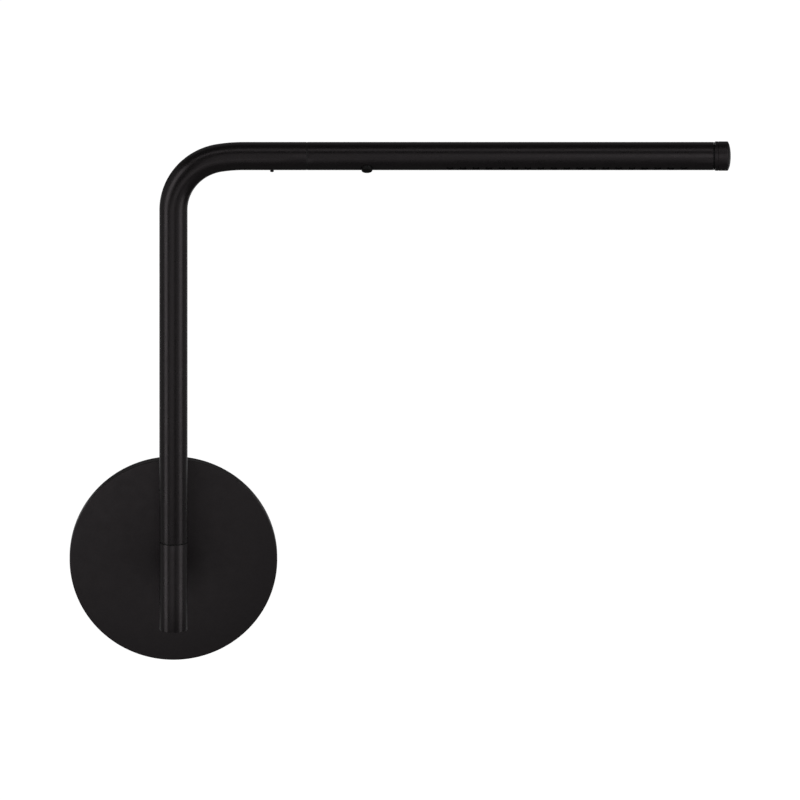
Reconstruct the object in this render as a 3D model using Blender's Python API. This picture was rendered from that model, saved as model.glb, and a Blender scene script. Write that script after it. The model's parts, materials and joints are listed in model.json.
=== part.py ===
"""A wall picture light on a swivelling arm, at rest, in metres with +Z up.

The wall is the plane y = 0 and the room is on its -Y side. The origin is the centre of the wall
plate's back. A post carries a vertical swivel in front of the plate. The arm stands on the swivel,
bends through a right angle and ends in the lighting head, which rolls about its own length.
"""

import math

import bmesh
import bpy
from mathutils import Matrix

# Clearances
GAP = 0.0003  # between pieces that touch
RUN = 0.00015  # between a turning piece and its bush
CUT = 0.002  # how far a cutter passes the face it opens

# Tube of the arm and the head, with its coat
TUBE_RADIUS = 0.00815
TUBE_BORE = 0.0070

# Wall plate and what holds it
PLATE_RADIUS = 0.0600
PLATE_DEPTH = 0.0070
PLATE_WALL = 0.0012
PLATE_EDGE = 0.0008
BRACKET_WIDTH = 0.0240
BRACKET_END = 0.0569
BRACKET_WALL = 0.0015
EAR_DEPTH = 0.0055
PLATE_SCREW_DEPTH = 0.0034
PLATE_SCREW_RADIUS = 0.0012
SLOT_NEAR, SLOT_FAR = 0.0322, 0.0470
SLOT_RADIUS = 0.0024
WIRE_HOLE_RADIUS = 0.0100
GROUND_SCREW_X = -0.0230
GROUND_SCREW_RADIUS = 0.0017

# Post between the plate and the swivel
STAND_OFF = 0.0640  # from the wall to the swivel axis
NIPPLE_RADIUS = 0.0050
NIPPLE_BORE = 0.0035
NIPPLE_LENGTH = 0.0200
POST_RADIUS = 0.0072
POST_BORE = 0.0036
NECK_RADIUS = 0.0046

# Swivel
SLEEVE_BORE = 0.0058
SLEEVE_BOTTOM, SLEEVE_TOP = -0.0264, 0.0258
ARM_BOTTOM = 0.0264
PIVOT_RADIUS = 0.0042
PIVOT_BORE = 0.0023
PIVOT_BOTTOM, PIVOT_TOP = 0.0070, 0.0400
STOP_HEIGHT = 0.0168
STOP_FLOOR = 0.00345
SWIVEL_RANGE = 180  # degrees, from along the wall to along the wall the other way

# Arm
BEND_RADIUS = 0.0315
EASE_ANGLE = 81  # degrees, where the bend starts to ease
EASE_RADIUS = 0.0890
HEAD_HEIGHT = 0.2567
ARM_END = 0.0769
ROLL_SCREW_X = 0.0569
ROLL_SCREW_RADIUS = 0.0011
ROLL_SCREW_PROUD = 0.0012

# Head, measured along X from the swivel axis
HEAD_START, HEAD_END = 0.0774, 0.3120
AIM = 41  # degrees that the lamps face away from the wall, from straight down
ROLL_BACK, ROLL_FORWARD = 50, 130  # degrees away from the wall and towards it
SPIGOT_RADIUS = 0.0052
SPIGOT_BORE = 0.0026
SPIGOT_START, SPIGOT_END = 0.0470, 0.0900
SPIGOT_FLOOR = 0.0043
SPIGOT_SCREW_X = 0.0840
LED_COUNT = 19
LED_FIRST, LED_PITCH = 0.1598, 0.0075
LED_HOLE_RADIUS = 0.0021
BOARD_START, BOARD_END = 0.1560, 0.2995
DRIVER_START, DRIVER_END = 0.0920, 0.1500
DRIVER_LOW, DRIVER_HIGH = -0.0004, 0.0006
DRIVER_HALF_WIDTH = 0.0066
SWITCH_X = 0.1118
BUTTON_RADIUS = 0.00315
BUTTON_TIP = 0.0095  # from the head's axis
CAP_START, CAP_END = 0.3123, 0.3220
CAP_RADIUS = 0.0085
CAP_EDGE = 0.0030
CAP_CROWN = 0.0005
RING_X = 0.3070

CABLE_RADIUS = 0.0015
CABLE_BEND = 0.0090

LARGE, MEDIUM, INNER, SMALL = 64, 32, 20, 16  # sides of a round piece

ALONG_X = Matrix(((0, 0, 1, 0), (1, 0, 0, 0), (0, 1, 0, 0), (0, 0, 0, 1)))
ALONG_Y = Matrix(((0, 1, 0, 0), (0, 0, 1, 0), (1, 0, 0, 0), (0, 0, 0, 1)))
UPRIGHT = Matrix.Identity(4)


# ---------------------------------------------------------------- shapes


def clear_scene():
    for thing in list(bpy.data.objects):
        bpy.data.objects.remove(thing, do_unlink=True)


def finish_mesh(name, shape, turn):
    """A mesh from a bmesh, turned from local Z to its own axis, with its faces pointing out."""
    bmesh.ops.transform(shape, matrix=turn, verts=shape.verts)
    bmesh.ops.recalc_face_normals(shape, faces=shape.faces)
    mesh = bpy.data.meshes.new(name)
    shape.to_mesh(mesh)
    shape.free()
    mesh.shade_smooth()
    mesh.set_sharp_from_angle(angle=math.radians(30))
    return mesh


def turned(name, profile, sides=MEDIUM, turn=UPRIGHT):
    """A profile of (radius, height) turned about Z. It closes on itself, or on the axis at radius 0."""
    shape = bmesh.new()
    rings = []
    for radius, height in profile:
        count = sides if radius else 1
        angles = [2 * math.pi * step / sides for step in range(count)]
        rings.append([shape.verts.new((radius * math.cos(a), radius * math.sin(a), height)) for a in angles])
    for ring, after in zip(rings, rings[1:] + rings[:1]):
        if len(ring) == len(after) == 1:
            continue
        for step in range(sides):
            ahead = (step + 1) % sides
            if len(ring) == 1:
                shape.faces.new((ring[0], after[step], after[ahead]))
            elif len(after) == 1:
                shape.faces.new((ring[step], after[0], ring[ahead]))
            else:
                shape.faces.new((ring[step], after[step], after[ahead], ring[ahead]))
    return finish_mesh(name, shape, turn)


def rod(name, radius, low, high, sides=SMALL, turn=UPRIGHT):
    return turned(name, [(0, low), (radius, low), (radius, high), (0, high)], sides, turn)


def ring(name, bore, radius, low, high, sides=MEDIUM, turn=UPRIGHT):
    return turned(name, [(bore, low), (radius, low), (radius, high), (bore, high)], sides, turn)


def extruded(name, outline, low, high, turn=UPRIGHT):
    """A closed outline in the XY plane, extruded along Z."""
    shape = bmesh.new()
    bottom = [shape.verts.new((a, b, low)) for a, b in outline]
    top = [shape.verts.new((a, b, high)) for a, b in outline]
    shape.faces.new(bottom)
    shape.faces.new(top)
    for step in range(len(outline)):
        ahead = (step + 1) % len(outline)
        shape.faces.new((bottom[step], bottom[ahead], top[ahead], top[step]))
    return finish_mesh(name, shape, turn)


def block(name, low, high):
    outline = [(low[0], low[1]), (high[0], low[1]), (high[0], high[1]), (low[0], high[1])]
    return extruded(name, outline, low[2], high[2])


def sector(name, bore, radius, low, high, start, end, turn=UPRIGHT):
    """Part of a flat ring about Z, from the start angle to the end angle in degrees."""
    steps = math.ceil((end - start) / 12)
    angles = [math.radians(start + (end - start) * step / steps) for step in range(steps + 1)]
    outer = [(radius * math.cos(a), radius * math.sin(a)) for a in angles]
    inner = [(bore * math.cos(a), bore * math.sin(a)) for a in reversed(angles)]
    return extruded(name, outer + inner, low, high, turn)


def drills(name, places, radius, low, high, sides=SMALL):
    """One mesh of upright rods, centred on each (x, y)."""
    shape = bmesh.new()
    size = {"segments": sides, "radius1": radius, "radius2": radius, "depth": high - low}
    for x, y in places:
        centre = Matrix.Translation((x, y, (low + high) / 2))
        bmesh.ops.create_cone(shape, cap_ends=True, matrix=centre, **size)
    return finish_mesh(name, shape, UPRIGHT)


def arc(centre, radius, start, end, steps):
    """Points (a, b) on an arc, from the start angle to the end angle in degrees."""
    angles = [math.radians(start + (end - start) * step / steps) for step in range(steps + 1)]
    return [(centre[0] + radius * math.cos(a), centre[1] + radius * math.sin(a)) for a in angles]


# ---------------------------------------------------------------- objects


def material(name, colour, roughness, metallic=0.0):
    made = bpy.data.materials.new(name)
    made.use_nodes = True
    shader = made.node_tree.nodes["Principled BSDF"]
    shader.inputs["Base Color"].default_value = (*colour, 1)
    shader.inputs["Roughness"].default_value = roughness
    shader.inputs["Metallic"].default_value = metallic
    return made


def coated(name):
    return material(name, (0.014, 0.013, 0.013), 0.45)


def steel(name):
    return material(name, (0.55, 0.55, 0.53), 0.35, 1.0)


def aluminium(name):
    return material(name, (0.72, 0.72, 0.73), 0.40, 1.0)


def brass(name):
    return material(name, (0.70, 0.52, 0.24), 0.30, 1.0)


def nylon(name):
    return material(name, (0.78, 0.76, 0.70), 0.50)


def rubber(name):
    return material(name, (0.02, 0.02, 0.02), 0.70)


def sheath(name):
    return material(name, (0.60, 0.60, 0.58), 0.50)


def green_steel(name):
    return material(name, (0.05, 0.30, 0.10), 0.35, 0.8)


def white_board(name):
    return material(name, (0.80, 0.80, 0.78), 0.40)


def green_board(name):
    return material(name, (0.03, 0.22, 0.10), 0.40)


def phosphor(name):
    return material(name, (0.85, 0.75, 0.25), 0.30)


def lens_plastic(name):
    return material(name, (0.10, 0.10, 0.10), 0.10)


def acetal(name):
    return material(name, (0.015, 0.015, 0.015), 0.35)


def black_plastic(name):
    return material(name, (0.02, 0.02, 0.02), 0.40)


def copper(name):
    return material(name, (0.60, 0.28, 0.12), 0.35, 0.8)


def axis_empty(name, place, parent=None, tilt=0.0):
    empty = bpy.data.objects.new(name, None)
    empty.location = place
    empty.rotation_euler = (math.radians(tilt), 0, 0)
    empty.parent = parent
    bpy.context.scene.collection.objects.link(empty)
    return empty


def place(mesh, finish, parent=None, at=(0, 0, 0)):
    made = bpy.data.objects.new(mesh.name, mesh)
    made.location = at
    made.parent = parent
    made.data.materials.append(finish(mesh.name + "_finish"))
    bpy.context.scene.collection.objects.link(made)
    return made


def boolean(target, tool_mesh, operation="DIFFERENCE", at=(0, 0, 0)):
    """Cuts the target with a hidden tool in the target's own frame, or joins the tool to it."""
    tool = bpy.data.objects.new(tool_mesh.name, tool_mesh)
    tool.parent = target.parent
    tool.location = at
    tool.hide_render = True
    tool.display_type = "WIRE"
    bpy.context.scene.collection.objects.link(tool)
    modifier = target.modifiers.new(tool_mesh.name, "BOOLEAN")
    modifier.operation = operation
    modifier.solver = "EXACT"
    modifier.object = tool


def cable(name, points, parent=None, radius=CABLE_RADIUS):
    curve = bpy.data.curves.new(name, "CURVE")
    curve.dimensions = "3D"
    curve.bevel_depth = radius
    curve.bevel_resolution = 2
    curve.use_fill_caps = True
    spline = curve.splines.new("POLY")
    spline.points.add(len(points) - 1)
    for point, where in zip(spline.points, points):
        point.co = (*where, 1)
    made = bpy.data.objects.new(name, curve)
    made.parent = parent
    curve.materials.append(sheath(name + "_finish"))
    bpy.context.scene.collection.objects.link(made)


# ---------------------------------------------------------------- wall plate


def wall_plate():
    inside = PLATE_DEPTH - PLATE_WALL
    edge = arc((PLATE_RADIUS - PLATE_EDGE, -PLATE_DEPTH + PLATE_EDGE), PLATE_EDGE, 0, -90, 3)
    bore = NIPPLE_RADIUS + GAP
    profile = [(PLATE_RADIUS, 0)] + edge + [(bore, -PLATE_DEPTH), (bore, -inside)]
    profile += [(PLATE_RADIUS - PLATE_WALL, -inside), (PLATE_RADIUS - PLATE_WALL, 0)]
    plate = place(turned("wall_plate", profile, LARGE, ALONG_Y), coated)
    reach = PLATE_RADIUS + CUT
    drill = rod("plate_screw_holes", PLATE_SCREW_RADIUS + GAP, -reach, reach, turn=ALONG_X)
    boolean(plate, drill, at=(0, -PLATE_SCREW_DEPTH, 0))


def mounting_bracket():
    """A strap across the wall box, with an ear bent out at each end for the plate's screws."""
    ear = BRACKET_END - BRACKET_WALL
    outline = [(-BRACKET_END, 0), (BRACKET_END, 0), (BRACKET_END, -EAR_DEPTH), (ear, -EAR_DEPTH)]
    outline += [(ear, -BRACKET_WALL), (-ear, -BRACKET_WALL), (-ear, -EAR_DEPTH), (-BRACKET_END, -EAR_DEPTH)]
    half = BRACKET_WIDTH / 2
    bracket = place(extruded("mounting_bracket", outline, -half, half), steel)
    reach = BRACKET_END + CUT
    ear_drill = rod("ear_holes", PLATE_SCREW_RADIUS + GAP, -reach, reach, turn=ALONG_X)
    boolean(bracket, ear_drill, at=(0, -PLATE_SCREW_DEPTH, 0))
    wire_hole = rod("wire_hole", WIRE_HOLE_RADIUS, -BRACKET_WALL - CUT, CUT, MEDIUM, ALONG_Y)
    boolean(bracket, wire_hole)
    ground_hole = rod("ground_hole", GROUND_SCREW_RADIUS + GAP, -BRACKET_WALL - CUT, CUT, turn=ALONG_Y)
    boolean(bracket, ground_hole, at=(GROUND_SCREW_X, 0, 0))
    for side, name in ((-1, "left"), (1, "right")):
        half = (SLOT_FAR - SLOT_NEAR) / 2 - SLOT_RADIUS
        outline = arc((0, half), SLOT_RADIUS, 0, 180, 6) + arc((0, -half), SLOT_RADIUS, 180, 360, 6)
        slot = extruded(name + "_box_slot", outline, -BRACKET_WALL - CUT, CUT, ALONG_Y)
        boolean(bracket, slot, at=(side * (SLOT_NEAR + SLOT_FAR) / 2, 0, 0))


def ground_screw():
    head, shank, socket = 0.0032, GROUND_SCREW_RADIUS, 0.0007
    end, under = -0.0001, -BRACKET_WALL - 0.0001
    side, top, floor = under - 0.0008, under - 0.0014, under - 0.0006
    profile = [(0, end), (shank, end), (shank, under), (head, under), (head, side)]
    profile += [(head - 0.0008, top), (socket, top), (socket, floor), (0, floor)]
    place(turned("ground_screw", profile, SMALL, ALONG_Y), green_steel, at=(GROUND_SCREW_X, 0, 0))


def grub_screw(name, radius, tip, outer, turn):
    """A headless screw from its tip to its outer end, which has a socket for a key."""
    socket = radius * 0.5
    depth = radius * 0.9
    profile = [(0, tip), (radius * 0.7, tip), (radius, tip + radius * 0.3), (radius, outer)]
    profile += [(socket, outer), (socket, outer - depth), (0, outer - depth)]
    return turned(name, profile, SMALL, turn)


def plate_screws():
    for side, name in ((-1, "plate_screw_left"), (1, "plate_screw_right")):
        mesh = grub_screw(name, PLATE_SCREW_RADIUS, 0.0545, PLATE_RADIUS - GAP, ALONG_X)
        screw = place(mesh, steel, at=(0, -PLATE_SCREW_DEPTH, 0))
        screw.rotation_euler = (0, 0, 0 if side > 0 else math.pi)


def nipple_and_nut():
    inside = PLATE_DEPTH - PLATE_WALL
    place(ring("threaded_nipple", NIPPLE_BORE, NIPPLE_RADIUS, -NIPPLE_LENGTH, -0.0010, INNER, ALONG_Y), brass)
    washer_front = inside - 0.0002
    washer = sector("lock_washer", 0.0053, 0.0080, -washer_front, -washer_front + 0.0008, 4, 356, ALONG_Y)
    place(washer, steel)
    nut_front = washer_front - 0.0009
    corners = arc((0, 0), 0.0081, 0, 300, 5)
    nut = place(extruded("hex_nut", corners, -nut_front, -nut_front + 0.0021, ALONG_Y), brass)
    boolean(nut, rod("nut_bore", NIPPLE_RADIUS + GAP, -nut_front - CUT, CUT, MEDIUM, ALONG_Y))


# ---------------------------------------------------------------- post and swivel


def standoff_post():
    """The post is coped to the sleeve, and its neck enters the sleeve's wall."""
    front = PLATE_DEPTH + GAP
    post = place(rod("standoff_post", POST_RADIUS, -STAND_OFF + 0.003, -front, MEDIUM, ALONG_Y), coated)
    saddle = rod("saddle", TUBE_RADIUS + GAP, -0.03, 0.03, MEDIUM)
    boolean(post, saddle, at=(0, -STAND_OFF, 0))
    neck_end = -STAND_OFF + SLEEVE_BORE + GAP
    boolean(post, rod("neck", NECK_RADIUS, neck_end, -STAND_OFF + 0.020, MEDIUM, ALONG_Y), "UNION")
    thread_end = -NIPPLE_LENGTH - GAP
    profile = [(0, CUT), (NIPPLE_RADIUS + GAP, CUT), (NIPPLE_RADIUS + GAP, thread_end)]
    profile += [(POST_BORE, thread_end - 0.001), (POST_BORE, -STAND_OFF - CUT), (0, -STAND_OFF - CUT)]
    boolean(post, turned("post_bore", profile, MEDIUM, ALONG_Y))


def swivel_sleeve():
    edge = 0.0003
    profile = [(SLEEVE_BORE, SLEEVE_BOTTOM), (TUBE_RADIUS - edge, SLEEVE_BOTTOM)]
    profile += [(TUBE_RADIUS, SLEEVE_BOTTOM + edge), (TUBE_RADIUS, SLEEVE_TOP - edge)]
    profile += [(TUBE_RADIUS - edge, SLEEVE_TOP), (SLEEVE_BORE, SLEEVE_TOP)]
    sleeve = place(turned("swivel_sleeve", profile), coated, at=(0, -STAND_OFF, 0))
    axis = (0, -STAND_OFF, 0)
    boolean(sleeve, rod("neck_hole", NECK_RADIUS + GAP, 0.002, 0.012, MEDIUM, ALONG_Y), at=axis)
    stop_hole = rod("stop_hole", 0.0015 + GAP, 0.002, 0.012, SMALL, ALONG_Y)
    boolean(sleeve, stop_hole, at=(0, -STAND_OFF, STOP_HEIGHT))


def swivel_stop_screw():
    """A screw through the sleeve's back, whose thin tip runs in the pivot's groove."""
    outer, tip, thin, thick = TUBE_RADIUS - GAP, STOP_FLOOR + GAP, 0.0010, 0.0015
    profile = [(0, tip), (thin, tip), (thin, 0.0052), (thick, 0.0056), (thick, outer)]
    profile += [(0.0007, outer), (0.0007, outer - 0.0012), (0, outer - 0.0012)]
    screw = turned("swivel_stop_screw", profile, SMALL, ALONG_Y)
    place(screw, steel, at=(0, -STAND_OFF, STOP_HEIGHT))


def swivel_bushes():
    axis = (0, -STAND_OFF, 0)
    bore, outer = PIVOT_RADIUS + RUN, SLEEVE_BORE - GAP
    place(ring("lower_bush", bore, outer, 0.0098, 0.0140, INNER), nylon, at=axis)
    place(ring("upper_bush", bore, outer, 0.0195, 0.0256, INNER), nylon, at=axis)
    thrust_low, thrust_high = SLEEVE_TOP + 0.0001, ARM_BOTTOM - 0.0001
    washer = ring("thrust_washer", PIVOT_RADIUS + GAP, TUBE_RADIUS - 0.0004, thrust_low, thrust_high)
    place(washer, acetal, at=axis)
    plug = [(0, SLEEVE_BOTTOM + 0.0019), (0.0014, SLEEVE_BOTTOM + 0.0019), (0.0014, SLEEVE_BOTTOM + GAP)]
    plug += [(SLEEVE_BORE - GAP, SLEEVE_BOTTOM + GAP), (SLEEVE_BORE - GAP, SLEEVE_BOTTOM + 0.0044)]
    plug += [(0, SLEEVE_BOTTOM + 0.0044)]
    place(turned("sleeve_end_plug", plug, INNER), coated, at=axis)


def wave_washer():
    """A thin spring ring with three waves, which gives the swivel its friction."""
    bore, outer, middle = 0.0044, 0.0053, 0.0092
    half_wall, swing, steps = 0.0002, 0.00022, 24
    shape = bmesh.new()
    loops = []
    for step in range(steps):
        angle = 2 * math.pi * step / steps
        level = middle + swing * math.cos(3 * angle)
        loop = []
        for radius, lift in ((bore, -half_wall), (outer, -half_wall), (outer, half_wall), (bore, half_wall)):
            loop.append(shape.verts.new((radius * math.cos(angle), radius * math.sin(angle), level + lift)))
        loops.append(loop)
    for loop, after in zip(loops, loops[1:] + loops[:1]):
        for side in range(4):
            ahead = (side + 1) % 4
            shape.faces.new((loop[side], loop[ahead], after[ahead], after[side]))
    place(finish_mesh("wave_washer", shape, UPRIGHT), steel, at=(0, -STAND_OFF, 0))


def base_cable():
    """Along the post, then up through the swivel on its axis."""
    turn_start = -STAND_OFF + CABLE_BEND
    points = [(0, -0.0014, 0), (0, -0.020, 0), (0, -0.040, 0)]
    for along, height in arc((turn_start, CABLE_BEND), CABLE_BEND, 270, 180, 8):
        points.append((0, along, height))
    points.append((0, -STAND_OFF, (SLEEVE_TOP + ARM_BOTTOM) / 2 - RUN))
    cable("supply_cable_base", points)


# ---------------------------------------------------------------- arm


def bend_line():
    """Stations (x, z, lean) round the bend, whose radius eases out before it meets the head's line."""
    ease = math.radians(EASE_ANGLE)
    slack = EASE_RADIUS - BEND_RADIUS
    corner = HEAD_HEIGHT - EASE_RADIUS + slack * math.sin(ease)
    stations = []
    for degrees in [6.75 * step for step in range(13)] + [85.5, 90]:
        lean = math.radians(degrees)
        radius, shift = (BEND_RADIUS, 0) if lean <= ease else (EASE_RADIUS, slack)
        x = BEND_RADIUS - radius * math.cos(lean) + shift * math.cos(ease)
        z = corner + radius * math.sin(lean) - shift * math.sin(ease)
        stations.append((x, z, lean))
    return stations


def arm_tube(axis):
    """A tube up from the swivel, round the bend and along to the head."""
    stations = [(0, ARM_BOTTOM, 0)] + bend_line() + [(ARM_END, HEAD_HEIGHT, math.radians(90))]
    shape = bmesh.new()
    walls = []
    for radius in (TUBE_RADIUS, TUBE_BORE):
        rings = []
        for x, z, lean in stations:
            around = []
            for side in range(MEDIUM):
                angle = 2 * math.pi * side / MEDIUM
                across = radius * math.cos(angle)
                spot = (x + across * math.cos(lean), radius * math.sin(angle), z - across * math.sin(lean))
                around.append(shape.verts.new(spot))
            rings.append(around)
        walls.append(rings)
    outer, inner = walls
    loops = outer + inner[::-1]
    for loop, after in zip(loops, loops[1:] + loops[:1]):
        for side in range(MEDIUM):
            ahead = (side + 1) % MEDIUM
            shape.faces.new((loop[side], loop[ahead], after[ahead], after[side]))
    tube = place(finish_mesh("arm_tube", shape, UPRIGHT), coated, axis)
    hole = rod("roll_screw_hole", ROLL_SCREW_RADIUS + GAP, -TUBE_RADIUS - CUT, -TUBE_BORE + CUT)
    boolean(tube, hole, at=(ROLL_SCREW_X, 0, HEAD_HEIGHT))


def arm_pivot(axis):
    """The hollow shaft fixed in the arm's foot. Its groove ends where the swivel stops."""
    bottom, top = PIVOT_BOTTOM, PIVOT_TOP
    ring_floor, ring_low, ring_high = 0.0034, 0.0074, 0.0088
    shoulder = ARM_BOTTOM + 0.00005
    profile = [(PIVOT_BORE, bottom), (PIVOT_RADIUS, bottom), (PIVOT_RADIUS, ring_low), (ring_floor, ring_low)]
    profile += [(ring_floor, ring_high), (PIVOT_RADIUS, ring_high), (PIVOT_RADIUS, shoulder)]
    profile += [(TUBE_BORE - GAP, shoulder), (TUBE_BORE - GAP, top), (PIVOT_BORE, top)]
    pivot = place(turned("arm_pivot", profile, INNER), steel, axis)
    spare, half = 18, 0.0013
    start, end = 90 - spare, 90 + SWIVEL_RANGE + spare
    groove = sector("swivel_groove", STOP_FLOOR, 0.006, -half, half, start, end)
    boolean(pivot, groove, at=(0, 0, STOP_HEIGHT))
    place(sector("retaining_ring", 0.0037, 0.0053, 0.0077, 0.0085, 25, 335), steel, axis)


def roll_screw(axis):
    """A screw under the arm, whose thin tip runs in the head spigot's groove."""
    tip, thin, shoulder = SPIGOT_FLOOR + 0.00025, 0.0008, 0.0060
    end = TUBE_RADIUS + ROLL_SCREW_PROUD
    radius = ROLL_SCREW_RADIUS
    profile = [(0, -tip), (thin, -tip), (thin, -shoulder), (radius, -shoulder - 0.0003)]
    profile += [(radius, -end + 0.0002), (radius - 0.0002, -end)]
    profile += [(0.0005, -end), (0.0005, -end + 0.0009), (0, -end + 0.0009)]
    place(turned("roll_stop_screw", profile, SMALL), coated, axis, (ROLL_SCREW_X, 0, HEAD_HEIGHT))


def roll_bearings(axis):
    bush = ring("roll_bush", SPIGOT_RADIUS + RUN, TUBE_BORE - GAP, 0.0605, ARM_END - 0.0001, INNER, ALONG_X)
    place(bush, nylon, axis, (0, 0, HEAD_HEIGHT))
    low, high = ARM_END + 0.0001, HEAD_START - 0.0001
    washer = ring("roll_washer", SPIGOT_RADIUS + GAP, TUBE_RADIUS - 0.00025, low, high, MEDIUM, ALONG_X)
    place(washer, acetal, axis, (0, 0, HEAD_HEIGHT))


def arm_cable(axis):
    points = [(0, 0, (SLEEVE_TOP + ARM_BOTTOM) / 2 + RUN), (0, 0, HEAD_HEIGHT / 2)]
    points += [(x, 0, z) for x, z, lean in bend_line()]
    points.append(((ARM_END + HEAD_START) / 2 - RUN, 0, HEAD_HEIGHT))
    cable("supply_cable_arm", points, axis)


# ---------------------------------------------------------------- head


def head_spigot(axis):
    """The hollow shaft that the head rolls on. Its groove ends where the roll stops."""
    plug_start = HEAD_START + 0.0001
    profile = [(SPIGOT_BORE, SPIGOT_START), (SPIGOT_RADIUS, SPIGOT_START), (SPIGOT_RADIUS, plug_start)]
    profile += [(TUBE_BORE - GAP, plug_start), (TUBE_BORE - GAP, SPIGOT_END), (SPIGOT_BORE, SPIGOT_END)]
    spigot = place(turned("head_spigot", profile, INNER, ALONG_X), steel, axis)
    # Turned along X, an angle runs from +Y through +Z, so the screw below the axis is at 270 - AIM.
    spare, half = 13, 0.0012
    screw = 270 + AIM
    start, end = screw - ROLL_FORWARD - spare, screw + ROLL_BACK + spare
    groove = sector("roll_groove", SPIGOT_FLOOR, 0.0068, -half, half, start, end, ALONG_X)
    boolean(spigot, groove, at=(ROLL_SCREW_X, 0, 0))
    boolean(spigot, rod("spigot_screw_hole", 0.0013, 0.0050, TUBE_BORE + CUT), at=(SPIGOT_SCREW_X, 0, 0))
    screw = grub_screw("spigot_screw", 0.0010, 0.0053, TUBE_RADIUS - GAP, UPRIGHT)
    place(screw, steel, axis, (SPIGOT_SCREW_X, 0, 0))


def led_places():
    return [LED_FIRST + LED_PITCH * number for number in range(LED_COUNT)]


def head_tube(axis):
    """The lamps shine through a row of holes, and the button and one screw have holes too."""
    wall = ring("head_tube", TUBE_BORE, TUBE_RADIUS, HEAD_START, HEAD_END, MEDIUM, ALONG_X)
    tube = place(wall, coated, axis)
    low, high = -TUBE_RADIUS - CUT, -TUBE_BORE + CUT
    boolean(tube, drills("led_holes", [(x, 0) for x in led_places()], LED_HOLE_RADIUS, low, high))
    boolean(tube, drills("button_hole", [(SWITCH_X, 0)], BUTTON_RADIUS + 0.0002, low, high))
    boolean(tube, drills("screw_hole", [(SPIGOT_SCREW_X, 0)], 0.0013, -high, -low))


def heat_sink(axis):
    """A half-round bar with a channel along its top, which takes the lamps' heat to the tube."""
    flat, radius, channel = -0.0022, 0.0066, 0.0020
    start = math.degrees(math.asin(flat / radius))
    side = math.degrees(math.acos(channel / radius))
    outline = arc((0, 0), radius, start, side, 6) + [(channel, 0.0025), (-channel, 0.0025)]
    outline += arc((0, 0), radius, 180 - side, 180 - start, 6)
    place(extruded("heat_sink", outline, BOARD_START, BOARD_END, ALONG_X), aluminium, axis)


def led_board(axis):
    board = block("led_board", (BOARD_START, -0.0050, -0.0035), (BOARD_END, 0.0050, -0.0025))
    place(board, white_board, axis)


def leds(axis):
    half = 0.0014
    for number, x in enumerate(led_places(), 1):
        mesh = block(f"led_{number:02d}", (x - half, -half, -0.0044), (x + half, half, -0.0037))
        place(mesh, phosphor, axis)


def lens_strip(axis):
    """A clear bar over the lamps, with a nose in each hole."""
    start, end = LED_FIRST - 0.0033, led_places()[-1] + 0.0033
    strip = place(block("lens_strip", (start, -0.0030, -0.0059), (end, 0.0030, -0.0047)), lens_plastic, axis)
    noses = drills("noses", [(x, 0) for x in led_places()], LED_HOLE_RADIUS - 0.00035, -0.0076, -0.0052, 12)
    boolean(strip, noses, "UNION")


def driver(axis):
    """The board that drives the lamps, with its main components and the push switch."""
    half = DRIVER_HALF_WIDTH
    board = block("driver_board", (DRIVER_START, -half, DRIVER_LOW), (DRIVER_END, half, DRIVER_HIGH))
    place(board, green_board, axis)
    top = DRIVER_HIGH + GAP
    chip = block("driver_chip", (0.0975, -0.0020, top), (0.1025, 0.0020, top + 0.0015))
    place(chip, black_plastic, axis)
    can_radius = 0.0024
    can = rod("capacitor", can_radius, 0.1190, 0.1310, SMALL, ALONG_X)
    place(can, black_plastic, axis, (0, 0, top + can_radius))
    choke = [(0, 0), (0.0030, 0), (0.0030, 0.0010), (0.0020, 0.0010), (0.0020, 0.0034)]
    choke += [(0.0030, 0.0034), (0.0030, 0.0044), (0, 0.0044)]
    place(turned("choke", choke, SMALL), copper, axis, (0.1400, 0, top))
    low = DRIVER_LOW - GAP
    switch = block("switch_body", (SWITCH_X - 0.003, -0.003, low - 0.0029), (SWITCH_X + 0.003, 0.003, low))
    place(switch, black_plastic, axis)


def switch_button(axis):
    """A round button with a collar inside the tube, on its own line of travel."""
    collar, nub = 0.00365, 0.0012
    profile = [(0, -0.0049), (nub, -0.0049), (nub, -0.0052), (collar, -0.0052), (collar, -0.0058)]
    edge = 0.0005
    profile += [(BUTTON_RADIUS, -0.0058)]
    profile += arc((BUTTON_RADIUS - edge, -BUTTON_TIP + edge), edge, 0, -90, 2) + [(0, -BUTTON_TIP)]
    place(turned("switch_button", profile, INNER), coated, axis)


def end_cap(axis):
    """A plug with a groove for its ring, and a rounded end that stands a little proud of the tube."""
    plug, groove, half = TUBE_BORE - GAP, 0.0060, 0.0009
    profile = [(0, 0.3040), (plug, 0.3040), (plug, RING_X - half), (groove, RING_X - half)]
    profile += [(groove, RING_X + half), (plug, RING_X + half), (plug, CAP_START)]
    profile += [(CAP_RADIUS - 0.0002, CAP_START), (CAP_RADIUS, CAP_START + 0.0002)]
    profile += [(CAP_RADIUS, CAP_START + 0.0020), (CAP_RADIUS - 0.0002, CAP_START + 0.0021)]
    profile += [(CAP_RADIUS, CAP_START + 0.0022)]
    profile += arc((CAP_RADIUS - CAP_EDGE, CAP_END - CAP_CROWN - CAP_EDGE), CAP_EDGE, 0, 90, 6)
    profile += [(0, CAP_END)]
    place(turned("end_cap", profile, MEDIUM, ALONG_X), coated, axis)
    hoop, bead = 0.00645, 0.0004
    place(turned("cap_ring", arc((hoop, RING_X), bead, 0, 300, 5), INNER, ALONG_X), rubber, axis)


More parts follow.
